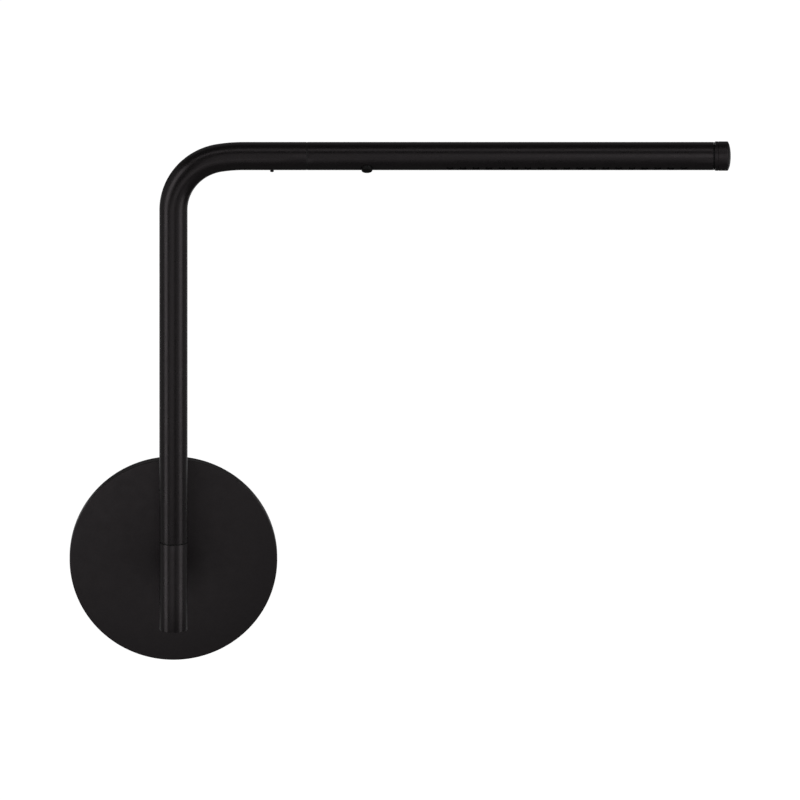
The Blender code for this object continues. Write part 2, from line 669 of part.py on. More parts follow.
def head_cables(axis):
    start = (ARM_END + HEAD_START) / 2 + RUN
    middle = (DRIVER_LOW + DRIVER_HIGH) / 2
    cable("supply_cable_head", [(start, 0, 0), (0.0850, 0, 0), (DRIVER_START - GAP, 0, 0)], axis)
    lead_start, lead_end, led_level = DRIVER_END + GAP, BOARD_START - GAP, -0.0030
    steps = 8
    points = []
    for step in range(steps + 1):
        along = lead_start + (lead_end - lead_start) * step / steps
        drop = 0.5 - 0.5 * math.cos(math.pi * step / steps)
        points.append((along, 0, middle + (led_level - middle) * drop))
    cable("led_lead", points, axis, 0.0004)


# ---------------------------------------------------------------- assembly


def main():
    clear_scene()
    wall_plate()
    mounting_bracket()
    ground_screw()
    plate_screws()
    nipple_and_nut()
    standoff_post()
    swivel_sleeve()
    swivel_stop_screw()
    swivel_bushes()
    wave_washer()
    base_cable()

    arm_axis = axis_empty("arm_axis", (0, -STAND_OFF, 0))
    arm_tube(arm_axis)
    arm_pivot(arm_axis)
    roll_screw(arm_axis)
    roll_bearings(arm_axis)
    arm_cable(arm_axis)

    head_axis = axis_empty("head_axis", (0, 0, HEAD_HEIGHT), arm_axis, -AIM)
    head_spigot(head_axis)
    head_tube(head_axis)
    heat_sink(head_axis)
    led_board(head_axis)
    leds(head_axis)
    lens_strip(head_axis)
    driver(head_axis)
    end_cap(head_axis)
    head_cables(head_axis)

    button_axis = axis_empty("button_axis", (SWITCH_X, 0, 0), head_axis)
    switch_button(button_axis)


main()
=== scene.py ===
"""The looks of a wall picture light, in metres with +Z up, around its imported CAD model.

Fine meshes stand for the CAD nodes. Their places and sizes are read from those nodes, and the sizes
named here are the ones that no node's box gives.
"""

import json
from math import acos, asin, atan2, ceil, cos, degrees, pi, radians, sin, sqrt, tan

import bmesh
import bpy
from mathutils import Matrix, Vector

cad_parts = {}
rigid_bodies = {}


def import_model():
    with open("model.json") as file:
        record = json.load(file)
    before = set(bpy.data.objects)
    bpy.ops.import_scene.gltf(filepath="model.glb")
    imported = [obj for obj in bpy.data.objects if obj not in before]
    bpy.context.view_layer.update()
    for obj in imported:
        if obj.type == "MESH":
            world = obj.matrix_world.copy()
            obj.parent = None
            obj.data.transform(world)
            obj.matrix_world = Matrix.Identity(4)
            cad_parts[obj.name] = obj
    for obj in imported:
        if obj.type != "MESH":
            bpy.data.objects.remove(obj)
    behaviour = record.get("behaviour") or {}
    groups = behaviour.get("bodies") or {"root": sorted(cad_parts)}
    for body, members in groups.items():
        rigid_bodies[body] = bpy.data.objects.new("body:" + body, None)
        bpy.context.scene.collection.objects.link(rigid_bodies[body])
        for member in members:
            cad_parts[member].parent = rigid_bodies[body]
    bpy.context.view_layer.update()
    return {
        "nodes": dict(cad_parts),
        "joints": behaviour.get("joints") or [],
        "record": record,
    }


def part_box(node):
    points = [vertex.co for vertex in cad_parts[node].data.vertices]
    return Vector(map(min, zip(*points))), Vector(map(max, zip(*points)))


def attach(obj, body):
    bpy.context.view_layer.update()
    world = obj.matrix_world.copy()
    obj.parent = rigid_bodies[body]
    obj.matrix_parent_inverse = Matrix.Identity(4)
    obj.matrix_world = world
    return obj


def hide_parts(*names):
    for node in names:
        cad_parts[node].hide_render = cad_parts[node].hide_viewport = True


# View
VIEW_WIDTH = 0.4622
VIEW_DISTANCE = 4.0
VIEW_ELEVATION = 15  # degrees
VIEW_CENTRE = (0.1309, -0.064, 0.1108)

# Stage
FLOOR_DROP = 0.85  # below the plate
FLOOR_SIZE = 40.0

# Shapes that the CAD boxes don't give
GAP = 0.0003  # between parts that pass each other
RUN = 0.00015  # between a shaft and its bush
SEAT = 0.0001  # clearance on each side of a joint's washer in the CAD
SLIT = 0.00002
BEND_RADIUS = 0.0315
EASE_ANGLE = radians(81)  # where the bend starts to ease
EASE_RADIUS = 0.089
PLATE_WALL = 0.0012
PLATE_EDGE = 0.0005
TUBE_WALL = 0.00115
SLEEVE_BORE = 0.0058
TUBE_EDGE = 0.00022
HOLE_EDGE = 0.00022
LED_HOLE_RADIUS = 0.0021
BUTTON_RADIUS = 0.00315
SPIGOT_HOLE_RADIUS = 0.0013
ROLL_HOLE_RADIUS = 0.0014
NECK_RADIUS = 0.0046
NECK_HOLE_RADIUS = 0.0049
STOP_HOLE_RADIUS = 0.0018
NIPPLE_CLEARANCE = 0.0053
NIPPLE_BORE = 0.0035
POST_BORE = 0.0036
PLATE_HOLE_RADIUS = 0.0015
BRACKET_WALL = 0.0015
WIRE_HOLE_RADIUS = 0.01
BOX_SLOT_NEAR, BOX_SLOT_FAR, BOX_SLOT_RADIUS = 0.0322, 0.047, 0.0024
CLEARANCE_RADIUS = 0.002  # of the ground screw's hole
PIVOT_RADIUS, PIVOT_BORE, PIVOT_FLOOR = 0.0042, 0.0023, 0.00345
CLIP_FLOOR, CLIP_LOW, CLIP_HIGH = 0.0034, 0.0074, 0.0088
SPIGOT_RADIUS, SPIGOT_BORE, SPIGOT_FLOOR = 0.0052, 0.0026, 0.0043
STOP_SPARE = 18  # degrees of groove past the swivel's stops
ROLL_SPARE = 13  # degrees of groove past the roll's stops
CABLE_BEND = 0.009
WAVE_BORE, WAVE_RADIUS, WAVE_HALF = 0.0044, 0.0053, 0.0002
CLIP_BORE = 0.0037
KEY_RADIUS, KEY_DEPTH = 0.00145, 0.0016
STOP_TIP_RADIUS, STOP_TIP_END, STOP_THREAD_START = 0.001, 0.0052, 0.0056
ROLL_TIP_RADIUS, ROLL_TIP_END, ROLL_THREAD_START = 0.0008, 0.006, 0.0063
GROUND_SHANK_RADIUS, GROUND_PITCH = 0.0017, 0.0006
PLATE_SCREW_PITCH, NIPPLE_PITCH = 0.00035, 0.001
SETTLED = 0.003  # how far the post reaches past the swivel's axis before it is coped
CAP_START = 0.0009  # from the tube's end to the fine cap's shoulder
CAP_LINE = 0.0029  # to the fine line round the cap
CAP_DOME = 0.0025  # half the depth of the oval that the cap's end follows
CAP_FLAT = 0.96  # how much of that oval's half width it takes up
BUTTON_TOP, BUTTON_STEP, BUTTON_SEAT = -0.0049, -0.0052, -0.0058
BUTTON_STEM = 0.0012
LENS_INNER = -0.0059
LENS_DOME = 0.0009
COIL_START, COIL_END, COIL_TURNS = 0.001, 0.0034, 12

ALONG_X = Matrix(((0, 0, 1, 0), (1, 0, 0, 0), (0, 1, 0, 0), (0, 0, 0, 1)))
ALONG_Y = Matrix(((0, 1, 0, 0), (0, 0, 1, 0), (1, 0, 0, 0), (0, 0, 0, 1)))


def shift(x=0, y=0, z=0):
    return Matrix.Translation((x, y, z))


# ---- frame

for thing in list(bpy.data.objects):
    bpy.data.objects.remove(thing)
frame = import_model()
nodes = frame["nodes"]
joints = {joint["name"]: joint for joint in frame["joints"]}
record = frame["record"]
bodies = {name: body for body, names in record["behaviour"]["bodies"].items() for name in names}
slots = {part["node"]: part["material_slot"] for part in record["subparts"]}

swivel = Vector(joints["arm_swivel"]["pos_m"])
roll = Vector(joints["head_roll"]["pos_m"])
press = Vector(joints["button_press"]["axis"])
WALL = Matrix.Identity(4)
SWIVEL = shift(y=swivel.y)  # upright on the swivel's axis
HEAD = shift(y=roll.y, z=roll.z) @ Matrix.Rotation(-atan2(press.y, press.z), 4, "X")
HEAD_LENGTH = HEAD @ ALONG_X


def extent(name, space=WALL):
    """Lowest and highest corner of a CAD node, in a space of its own."""
    back = space.inverted()
    spots = [back @ vertex.co for vertex in nodes[name].data.vertices]
    return Vector(map(min, *spots)), Vector(map(max, *spots))


# ---- meshes


def evenly(start, end, count):
    """Values from start to end in this many equal steps."""
    return [start + (end - start) * step / count for step in range(count + 1)]


def around(sides):
    return evenly(0, 2 * pi, sides)[:-1]


def shaded(mesh, sharp):
    """The mesh, smooth except across edges sharper than this angle in degrees."""
    mesh.shade_smooth()
    mesh.set_sharp_from_angle(angle=radians(sharp))
    return mesh


def solid(name, spots, faces, space, sharp=40):
    """A fine mesh with its faces pointing out."""
    mesh = bpy.data.meshes.new(name + "_fine")
    mesh.from_pydata([space @ Vector(spot) for spot in spots], [], faces)
    shape = bmesh.new()
    shape.from_mesh(mesh)
    bmesh.ops.delete(shape, geom=[vert for vert in shape.verts if not vert.link_faces], context="VERTS")
    bmesh.ops.recalc_face_normals(shape, faces=shape.faces)
    shape.to_mesh(mesh)
    shape.free()
    return shaded(mesh, sharp)


def bridge(loop, after):
    """Quads between two closed loops of the same length."""
    count = len(loop)
    return [(loop[i], loop[(i + 1) % count], after[(i + 1) % count], after[i]) for i in range(count)]


def bridged(loops):
    """Quads between each closed loop and the next."""
    return [quad for loop, after in zip(loops, loops[1:]) for quad in bridge(loop, after)]


def skin(name, loops, closed, space, sharp=40):
    """A solid through closed loops of points, which is itself closed round or capped at its ends."""
    count = len(loops[0])
    rows = [list(range(first, first + count)) for first in range(0, len(loops) * count, count)]
    faces = bridged(rows) + (bridge(rows[-1], rows[0]) if closed else [rows[0], rows[-1]])
    return solid(name, [spot for loop in loops for spot in loop], faces, space, sharp)


def rounded(corners, closed, steps=4):
    """Points (a, b) of an outline of (a, b) or (a, b, fillet) corners, with fillets drawn as arcs."""
    points = []
    for index, (a, b, *fillet) in enumerate(corners):
        here = Vector((a, b))
        inner = closed or 0 < index < len(corners) - 1
        if not any(fillet) or not inner:
            points.append((a, b))
            continue
        fillet = fillet[0]
        before = Vector(corners[index - 1][:2]) - here
        after = Vector(corners[(index + 1) % len(corners)][:2]) - here
        before, after = before.normalized(), after.normalized()
        half = before.angle(after) / 2
        start, end = before * fillet / tan(half), after * fillet / tan(half)
        centre = (before + after).normalized() * fillet / sin(half)
        for share in evenly(0, 1, steps):
            ray = (start - centre).lerp(end - centre, share).normalized() * fillet
            points.append(tuple(here + centre + ray))
    return points


def turned(name, corners, space, sides=96, closed=False, steps=4):
    """An outline of (radius, height, fillet) corners, turned about Z. It ends on the axis or is closed."""
    spots, loops = [], []
    for radius, height in rounded(corners, closed, steps):
        first = len(spots)
        spots += [(a, b, height) for a, b in (circle(radius, sides) if radius > 1e-9 else [(0, 0)])]
        count = len(spots) - first
        loops.append([first + side % count for side in range(sides)])
    faces = [tuple(dict.fromkeys(quad)) for quad in bridged(loops + loops[:1] if closed else loops)]
    return solid(name, spots, [face for face in faces if len(face) > 2], space)


def extruded(name, corners, low, high, space, steps=4):
    """A closed outline of corners in XY, extruded along Z."""
    outline = rounded(corners, True, steps)
    return skin(name, [[(a, b, height) for a, b in outline] for height in (low, high)], False, space)


def block(name, low, high, space, fillet=0.0):
    corners = [(low[0], low[1]), (high[0], low[1]), (high[0], high[1]), (low[0], high[1])]
    return extruded(name, [(a, b, fillet) for a, b in corners], low[2], high[2], space)


def merged(name, meshes):
    """One mesh from several."""
    shape = bmesh.new()
    for mesh in meshes:
        shape.from_mesh(mesh)
    made = bpy.data.meshes.new(name + "_fine")
    shape.to_mesh(made)
    shape.free()
    return made


def swept(name, path, section, space, closed=False):
    """A section of (a, b) points carried along a path of (centre, a's direction, b's direction)."""
    loops = [[centre + across * a + lift * b for a, b in section] for centre, across, lift in path]
    return skin(name, loops, closed, space)


def hoop(start, end, steps, level=lambda angle: 0.0):
    """A path about Z, whose sections are drawn as (radius, height)."""
    path = []
    for angle in map(radians, evenly(start, end, steps)):
        outward = Vector((cos(angle), sin(angle), 0))
        path.append((Vector((0, 0, level(angle))), outward, Vector((0, 0, 1))))
    return path


def circle(radius, sides):
    return [(radius * cos(angle), radius * sin(angle)) for angle in around(sides)]


def wire(name, points, radius, side, space, sides=32):
    """A round wire through points in one plane, square to side."""
    points = [Vector(point) for point in points]
    path = []
    for index, point in enumerate(points):
        ahead = (points[min(index + 1, len(points) - 1)] - points[max(index - 1, 0)]).normalized()
        path.append((point, Vector(side), ahead.cross(Vector(side))))
    return swept(name, path, circle(radius, sides), space)


def placed(name, data):
    """An object in the scene that holds a mesh, light or camera."""
    thing = bpy.data.objects.new(name, data)
    bpy.context.scene.collection.objects.link(thing)
    return thing


def renamed(made, mesh):
    """The mesh just made, under the name of the one it was made from."""
    name, mesh.name = mesh.name, "raw"
    made.name = name
    return made


def even(mesh):
    """The mesh with normals weighted by area, so that flat faces look flat up to their broken edges."""
    holder = placed("holder", mesh)
    holder.modifiers.new("normals", "WEIGHTED_NORMAL").keep_sharp = True
    graph = bpy.context.evaluated_depsgraph_get()
    made = bpy.data.meshes.new_from_object(holder.evaluated_get(graph))
    bpy.data.objects.remove(holder)
    return renamed(made, mesh)


def combined(mesh, tools, operation="DIFFERENCE", sharp=30, bevel=0.0):
    """A mesh with other meshes cut out of it or joined to it, and with its sharp edges broken."""
    target = placed(mesh.name + "_target", mesh)
    helpers = [target]
    for tool in tools:
        helper = placed(tool.name, tool)
        helpers.append(helper)
        modifier = target.modifiers.new(tool.name, "BOOLEAN")
        modifier.operation = operation
        modifier.solver = "EXACT"
        modifier.object = helper
    if bevel:
        modifier = target.modifiers.new("bevel", "BEVEL")
        modifier.limit_method = "ANGLE"
        modifier.angle_limit = radians(50)
        modifier.width = bevel
        modifier.segments = 2
    graph = bpy.context.evaluated_depsgraph_get()
    made = renamed(bpy.data.meshes.new_from_object(target.evaluated_get(graph)), mesh)
    for helper in helpers:
        bpy.data.objects.remove(helper)
    shaded(made, sharp)
    return even(made) if bevel else made


def helix(name, radius, low, high, pitch, depth, bore, space, sides=48, socket=None, point=()):
    """A threaded rod along Z. It can have a bore, or a hexagon socket of (size, depth) at its high end.

    The point is a list of (radius, height) below the thread.
    """
    per_turn = 8
    steps = max(2, round((high - low) / pitch * per_turn))
    angles, loops = around(sides), []

    def loop(measure, height):
        reaches = [measure(angle) if callable(measure) else measure for angle in angles]
        loops.append([(r * cos(angle), r * sin(angle), height) for r, angle in zip(reaches, angles)])

    def crest(height):
        fade = min(1.0, (height - low) / pitch, (high - height) / pitch)

        def reach(angle):
            phase = (height / pitch - angle / (2 * pi)) % 1.0
            return radius - depth * (1 - fade) - depth * fade * abs(2 * phase - 1)

        return reach

    for reach, height in [(bore, low)] if bore else point or [(radius * 0.4, low)]:
        loop(reach, height)
    for height in evenly(low, high, steps):
        loop(crest(height), height)
    if bore:
        loop(bore, high)
    elif not socket:
        loop(radius * 0.6, high)
    else:
        size, deep = socket

        def hexagon(angle):
            return size / cos((angle + pi / 6) % (pi / 3) - pi / 6)

        loop(size * 1.35, high)
        loop(hexagon, high - size * 0.15)
        loop(hexagon, high - deep)
        loop(size * 0.1, high - deep - size * 0.4)
    return skin(name, loops, bool(bore), space, 32)


def straight(forward, across, down):
    """A route for a straight tube: its centre, and the directions across and down."""
    axis, side, under = Vector(forward), Vector(across), Vector(down)
    return lambda along: (axis * along, side, under)


def pierced_tube(name, route, ends, radius, wall, holes, space, bends=(), sides=96):
    """A tube along a route, with rounded ends and with round holes drilled square to it.

    A hole is (along, turn, radius, half). Its turn is in sides of the tube, from the down direction,
    and half is how far the patch of mesh around it reaches along the tube.
    """
    start, end = ends
    bore = radius - wall
    per_hole = 12
    stations = {start + TUBE_EDGE, end - TUBE_EDGE, *bends}
    for along, _, _, half in holes:
        stations.update(evenly(along - half, along + half, per_hole))
    stations = sorted(stations)
    stations = [s for s, after in zip(stations, stations[1:]) if after - s > 1e-6] + stations[-1:]
    spots, faces = [], []

    def spot(along, over, depth, turn=0.0):
        centre, across, down = route(along)
        spots.append(centre + across * (over * cos(turn) + depth * sin(turn))
                     + down * (depth * cos(turn) - over * sin(turn)))
        return len(spots) - 1

    def ring(along, reach):
        return [spot(along, reach * sin(angle), reach * cos(angle)) for angle in around(sides)]

    def nearest(place):
        return min(range(len(stations)), key=lambda j: abs(stations[j] - place))

    def surface(reach, edge):
        """One of the tube's two skins, and the loop at each hole's edge."""
        rings = [ring(along, reach) for along in stations]
        skipped, rims = set(), []
        for along, turn, hole, half in holes:
            spare = (hole + HOLE_EDGE) / bore
            width = ceil(asin(min(0.97, spare)) / (2 * pi / sides)) + 2
            first, last = nearest(along - half), nearest(along + half)
            sides_here = range(turn - width, turn + width)
            skipped.update((j, i % sides) for j in range(first, last) for i in sides_here)
            border = [(j, turn - width) for j in range(first, last)]
            border += [(last, i) for i in sides_here]
            border += [(j, turn + width) for j in range(last, first, -1)]
            border += [(first, i) for i in range(turn + width, turn - width, -1)]
            loops = [[rings[j][i % sides] for j, i in border]]
            lean = 2 * pi * turn / sides
            places = []
            for j, i in border:
                over, ahead = reach * sin(2 * pi * (i - turn) / sides), stations[j] - along
                places.append((ahead, over, atan2(over, ahead)))
            steps = [(0.3, 0, 0), (0.6, 0, 0), (0.85, 0, 0), (1.0, 0, 0)]
            if edge:
                steps += [(1.0, edge * sin(a), edge * (1 - cos(a)))
                          for a in (pi / 8, pi / 4, pi * 3 / 8, pi / 2)]
            for share, inward, sunk in steps:
                wide = hole + edge - inward
                loop = []
                for ahead, over, ray in places:
                    u = ahead + (wide * cos(ray) - ahead) * share
                    v = over + (wide * sin(ray) - over) * share
                    loop.append(spot(along + u, v, sqrt(reach * reach - v * v) - sunk, lean))
                loops.append(loop)
            faces.extend(bridged(loops))
            rims.append(loops[-1])
        for j, (this, after) in enumerate(zip(rings, rings[1:])):
            faces.extend(quad for i, quad in enumerate(bridge(this, after)) if (j, i) not in skipped)
        return rings[0], rings[-1], rims

    outer_start, outer_end, outer_rims = surface(radius, HOLE_EDGE)
    inner_start, inner_end, inner_rims = surface(bore, 0.0)
    for outer, inner in zip(outer_rims, inner_rims):
        faces.extend(bridge(outer, inner))
    for outer, inner, place, sign in ((outer_start, inner_start, start, 1), (outer_end, inner_end, end, -1)):
        loops = [outer]
        for step in range(1, 5):
            angle = pi / 2 * step / 4
            along = place + sign * TUBE_EDGE * (1 - sin(angle))
            loops.append(ring(along, radius - TUBE_EDGE * (1 - cos(angle))))
        faces.extend(bridged(loops + [ring(place, bore + 0.0001), inner]))
    return solid(name, spots, faces, space, 50)


# ---- finishes


class Finish:
    """A procedural material: noise in the colour, gloss and height of a Principled shader."""

    def __init__(self, name, colour, roughness, metallic, sockets):
        self.material = bpy.data.materials.new(name)
        self.material.use_nodes = True
        self.nodes = self.material.node_tree.nodes
        self.links = self.material.node_tree.links
        self.shader = self.nodes["Principled BSDF"]
        plain = {"Base Color": (*colour, 1), "Roughness": roughness, "Metallic": metallic}
        for socket, value in (plain | sockets).items():
            self.shader.inputs[socket].default_value = value
        self.place = self.nodes.new("ShaderNodeTexCoord").outputs["Object"]
        self.height = None

    def node(self, kind, values, links):
        """A node with values and links for its sockets."""
        made = self.nodes.new("ShaderNode" + kind)
        for socket, value in values.items():
            made.inputs[socket].default_value = value
        for socket, source in links.items():
            self.links.new(source, made.inputs[socket])
        return made

    def noise(self, size, detail=3.0, stretch=(1, 1, 1)):
        """Noise whose features are about size metres across."""
        where = self.node("Mapping", {"Scale": stretch}, {"Vector": self.place}).outputs["Vector"]
        return self.node("TexNoise", {"Scale": 1 / size, "Detail": detail}, {"Vector": where}).outputs["Fac"]

    def spread(self, source, low, high, start=0.3, end=0.7):
        """A texture's values from start to end, as values from low to high."""
        ends = {"From Min": start, "From Max": end, "To Min": low, "To Max": high}
        return self.node("MapRange", ends, {"Value": source}).outputs["Result"]

    def colours(self, source, low, high, start=0.3, end=0.7):
        ramp = self.node("ValToRGB", {}, {"Fac": source})
        for stop, place, colour in zip(ramp.color_ramp.elements, (start, end), (low, high)):
            stop.position, stop.color = place, (*colour, 1)
        self.links.new(ramp.outputs["Color"], self.shader.inputs["Base Color"])

    def gloss(self, source, low, high, start=0.3, end=0.7):
        self.links.new(self.spread(source, low, high, start, end), self.shader.inputs["Roughness"])

    def relief(self, source, height):
        """Adds bumps of this height in metres to the ones already there."""
        under = {"Normal": self.height} if self.height else {}
        bump = self.node("Bump", {"Strength": 1, "Distance": height}, {"Height": source, **under})
        self.height = bump.outputs["Normal"]
        self.links.new(self.height, self.shader.inputs["Normal"])


RINGS = (0.04, 0.04, 1)  # stretches noise into lathe marks across Z
LEVEL_RINGS = (1, 0.04, 0.04)  # the same across X


def coat(smooth, rough):
    """Satin black powder coat: a soft orange peel with a fine grain on it."""
    colours = (0.0011, 4), (0.007, 0.0062, 0.0066), (0.011, 0.0098, 0.0102)
    bumps = [((0.0016, 1), 1e-5), ((0.0003, 2), 3.5e-6)]
    base, gloss = (0.009, 0.008, 0.0084), ((0.006, 3), smooth, rough)
    return base, (smooth + rough) / 2, 0, colours, gloss, bumps, {"Specular Tint": (1.0, 0.9, 0.94, 1)}


def lathe_steel(stretch):
    """Free-cutting steel with the lathe's rings across its axis."""
    colours = (0.003, 3), (0.45, 0.45, 0.45), (0.58, 0.58, 0.57)
    gloss, bumps = ((0.0007, 3, stretch), 0.18, 0.34), [((0.00022, 2, stretch), 4e-6)]
    return (0.52, 0.52, 0.51), 0.25, 1.0, colours, gloss, bumps


# Each is a base colour, roughness and metallic; a noise with the two colours it runs between; a noise
# with the two roughnesses; bumps, each a noise with a height in metres; and other sockets. A noise is a
# size in metres, a detail and perhaps a stretch. The base values stand where nothing is linked.
FINISHES = {
    "black_powder_coat": coat(0.26, 0.34),
    "plate_coat": coat(0.34, 0.42),  # the same coat on pressed and turned parts, a little more matt
    "blackened_screw": (  # oiled black oxide, worn a little
        (0.03, 0.03, 0.032), 0.35, 0.7, ((0.0006, 4), (0.018, 0.018, 0.02), (0.045, 0.044, 0.044)),
        ((0.0004, 3), 0.28, 0.45), [((0.0002, 2), 3e-6)]),
    "black_button": (  # plastic with a fine spark-eroded grain
        (0.008, 0.0077, 0.008), 0.48, 0, ((0.0009, 3), (0.0065, 0.0063, 0.0065), (0.0095, 0.0091, 0.0095)),
        ((0.0012, 2), 0.42, 0.54), [((0.00018, 1), 4e-6)], {"Specular IOR Level": 0.25}),
    "zinc_steel": (  # bright zinc: soft mottling, rolling lines and faint scratches
        (0.6, 0.6, 0.58), 0.3, 1.0, ((0.005, 4), (0.5, 0.51, 0.51), (0.68, 0.68, 0.65)),
        ((0.0018, 5), 0.22, 0.42), [((0.00045, 2, (0.03, 1, 1)), 5e-6), ((0.0009, 4), 4e-6)]),
    "ground_green": (  # green chromate over steel
        (0.05, 0.3, 0.1), 0.34, 0.6, ((0.0014, 4), (0.03, 0.22, 0.07), (0.07, 0.36, 0.13)),
        ((0.0008, 3), 0.26, 0.44), [((0.0004, 2), 4e-6)]),
    "brass": (  # turned, a little dulled
        (0.7, 0.5, 0.23), 0.28, 1.0, ((0.0022, 4), (0.58, 0.4, 0.17), (0.76, 0.57, 0.29)),
        ((0.001, 4), 0.2, 0.4), [((0.0002, 1, (0.05, 1, 0.05)), 4e-6)]),
    "black_acetal": (
        (0.012, 0.012, 0.012), 0.42, 0, None, ((0.001, 3), 0.36, 0.5), [((0.00015, 1), 3e-6)]),
    "turned_steel": lathe_steel(RINGS),
    "turned_steel_level": lathe_steel(LEVEL_RINGS),
    "spring_steel": (  # tempered, straw to grey
        (0.3, 0.3, 0.32), 0.3, 1.0, ((0.0018, 3), (0.22, 0.22, 0.26), (0.38, 0.35, 0.31)),
        ((0.0006, 3), 0.22, 0.38), [((0.0003, 2), 3e-6)]),
    "nylon": (
        (0.78, 0.76, 0.7), 0.48, 0, ((0.003, 3), (0.74, 0.72, 0.65), (0.81, 0.79, 0.74)),
        ((0.001, 2), 0.4, 0.55), [((0.0003, 2), 4e-6)],
        {"Subsurface Weight": 0.15, "Subsurface Scale": 0.001}),
    "cable_sheath": (  # soft PVC
        (0.6, 0.6, 0.58), 0.46, 0, ((0.0025, 3), (0.56, 0.56, 0.54), (0.64, 0.64, 0.62)),
        ((0.0012, 2), 0.38, 0.54), [((0.0004, 2), 6e-6)]),
    "red_lead": (
        (0.45, 0.04, 0.03), 0.36, 0, ((0.0012, 3), (0.4, 0.03, 0.025), (0.5, 0.05, 0.035)),
        ((0.0006, 2), 0.3, 0.44), [((0.0003, 2), 3e-6)]),
    "aluminium": (  # extruded, with the die's lines along X
        (0.72, 0.72, 0.73), 0.34, 1.0, ((0.004, 3), (0.66, 0.66, 0.67), (0.76, 0.76, 0.77)),
        ((0.0008, 3, (0.03, 1, 1)), 0.26, 0.42), [((0.00025, 2, (0.02, 1, 1)), 5e-6)]),
    "white_board": (  # solder resist, with a faint weave under it
        (0.8, 0.8, 0.78), 0.36, 0, ((0.003, 3), (0.76, 0.76, 0.74), (0.83, 0.83, 0.81)),
        ((0.0008, 2), 0.3, 0.42), [((0.0005, 1, (1, 0.3, 1)), 6e-6)]),
    "green_board": (
        (0.03, 0.22, 0.1), 0.34, 0, None, ((0.001, 2), 0.28, 0.4), []),
    "led_phosphor": (  # phosphor in silicone
        (0.85, 0.72, 0.22), 0.28, 0, ((0.0005, 3), (0.78, 0.64, 0.17), (0.9, 0.79, 0.3)),
        ((0.0006, 2), 0.22, 0.36), [((0.0002, 1), 3e-6)]),
    "clear_lens": (  # painted shade: an opaque near-black colour on the clear bar, standing for the dark inside of each hole seen through it
        (0.008, 0.0075, 0.008), 0.16, 0, None, ((0.0014, 2), 0.12, 0.22), [((0.001, 1), 3e-6)]),
    "component_black": (  # moulded epoxy with a fine grain
        (0.02, 0.02, 0.02), 0.46, 0, ((0.0006, 3), (0.015, 0.015, 0.016), (0.027, 0.027, 0.027)),
        ((0.0004, 2), 0.38, 0.56), [((0.00012, 2), 5e-6)]),
    "capacitor_sleeve": (
        (0.02, 0.02, 0.03), 0.3, 0, ((0.0015, 3), (0.014, 0.014, 0.024), (0.026, 0.026, 0.038)),
        ((0.001, 2), 0.24, 0.38), [((0.0006, 2), 4e-6)]),
    "copper_winding": (  # enamelled wire
        (0.62, 0.28, 0.12), 0.28, 0.9, ((0.001, 3), (0.52, 0.22, 0.09), (0.7, 0.34, 0.15)),
        ((0.0004, 2), 0.22, 0.36), [((0.00015, 1, (0.05, 1, 1)), 3e-6)]),
    "ring_rubber": (
        (0.02, 0.02, 0.02), 0.62, 0, ((0.0008, 3), (0.015, 0.015, 0.015), (0.026, 0.026, 0.026)),
        ((0.0005, 2), 0.54, 0.7), [((0.0002, 2), 5e-6)]),
    "seam_rubber": (  # painted shade: a dull black ring in the joint of the end cap, dark to stand for the shaded slit there
        (0.008, 0.008, 0.008), 0.6, 0, ((0.0008, 3), (0.004, 0.004, 0.004), (0.006, 0.006, 0.006)),
        ((0.0005, 2), 0.62, 0.78), [((0.0002, 2), 5e-6)], {"Specular IOR Level": 0.25}),
}
TRACK_GRAIN = (0.0016, 0, (0.25, 1, 1))
TRACK_COLOURS = ((0.018, 0.16, 0.07), (0.045, 0.27, 0.12))
TRACK_EDGES = (0.47, 0.5)
made_finishes = {}


def finish(name):
    """The material of this name, made on its first use."""
    if name in made_finishes:
        return made_finishes[name]
    base, roughness, metallic, colours, gloss, bumps, *rest = FINISHES[name]
    made = Finish(name, base, roughness, metallic, rest[0] if rest else {})
    if colours:
        made.colours(made.noise(*colours[0]), *colours[1:])
    made.gloss(made.noise(*gloss[0]), *gloss[1:])
    for grain, height in bumps:
        made.relief(made.noise(*grain), height)
    if name == "green_board":
        tracks = made.noise(*TRACK_GRAIN)
        made.colours(tracks, *TRACK_COLOURS, *TRACK_EDGES)
        made.relief(made.spread(tracks, 0, 1, *TRACK_EDGES), 0.00002)
    made_finishes[name] = made.material
    return made.material


def show(mesh, look=None, beside=None):
    """Puts a mesh in the scene as a piece, with the body and slot that the record gives its CAD node.

    The piece stands for the node it is named after, or for none when it only lies beside one.
    """
    node = beside or mesh.name.removesuffix("_fine")
    body, slot = bodies[node], slots[node]
    piece = placed(mesh.name, mesh)
    mesh.materials.clear()
    mesh.materials.append(finish(look or slot))
    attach(piece, body)
    if not beside:
        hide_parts(node)


# ---- camera, lights and floor


def aimed(name, data, azimuth, elevation, distance):
    """A light or camera that looks at the view's centre, from this direction and distance."""
    thing = placed(name, data)
    thing.location = Vector(VIEW_CENTRE) + direction(azimuth, elevation) * distance
    thing.rotation_euler = (Vector(VIEW_CENTRE) - thing.location).to_track_quat("-Z", "Y").to_euler()
    return thing


def direction(azimuth, elevation):
    """Seen from the object: azimuth 0 is straight out from the wall and 90 is to the right."""
    a, e = radians(azimuth), radians(elevation)
    return Vector((sin(a) * cos(e), -cos(a) * cos(e), sin(e)))


def camera():
    data = bpy.data.cameras.new("camera")
    data.type = "ORTHO"
    data.ortho_scale = VIEW_WIDTH
    data.clip_end = 100
    bpy.context.scene.camera = aimed("camera", data, 0, VIEW_ELEVATION, VIEW_DISTANCE)


def softbox(name, azimuth, elevation, distance, width, height, radiance):
    """A soft rectangular light of an even brightness, aimed at the object."""
    data = bpy.data.lights.new(name, "AREA")
    data.shape = "RECTANGLE"
    data.size, data.size_y = width, height
    data.energy = radiance * pi * width * height
    aimed(name, data, azimuth, elevation, distance).visible_camera = False


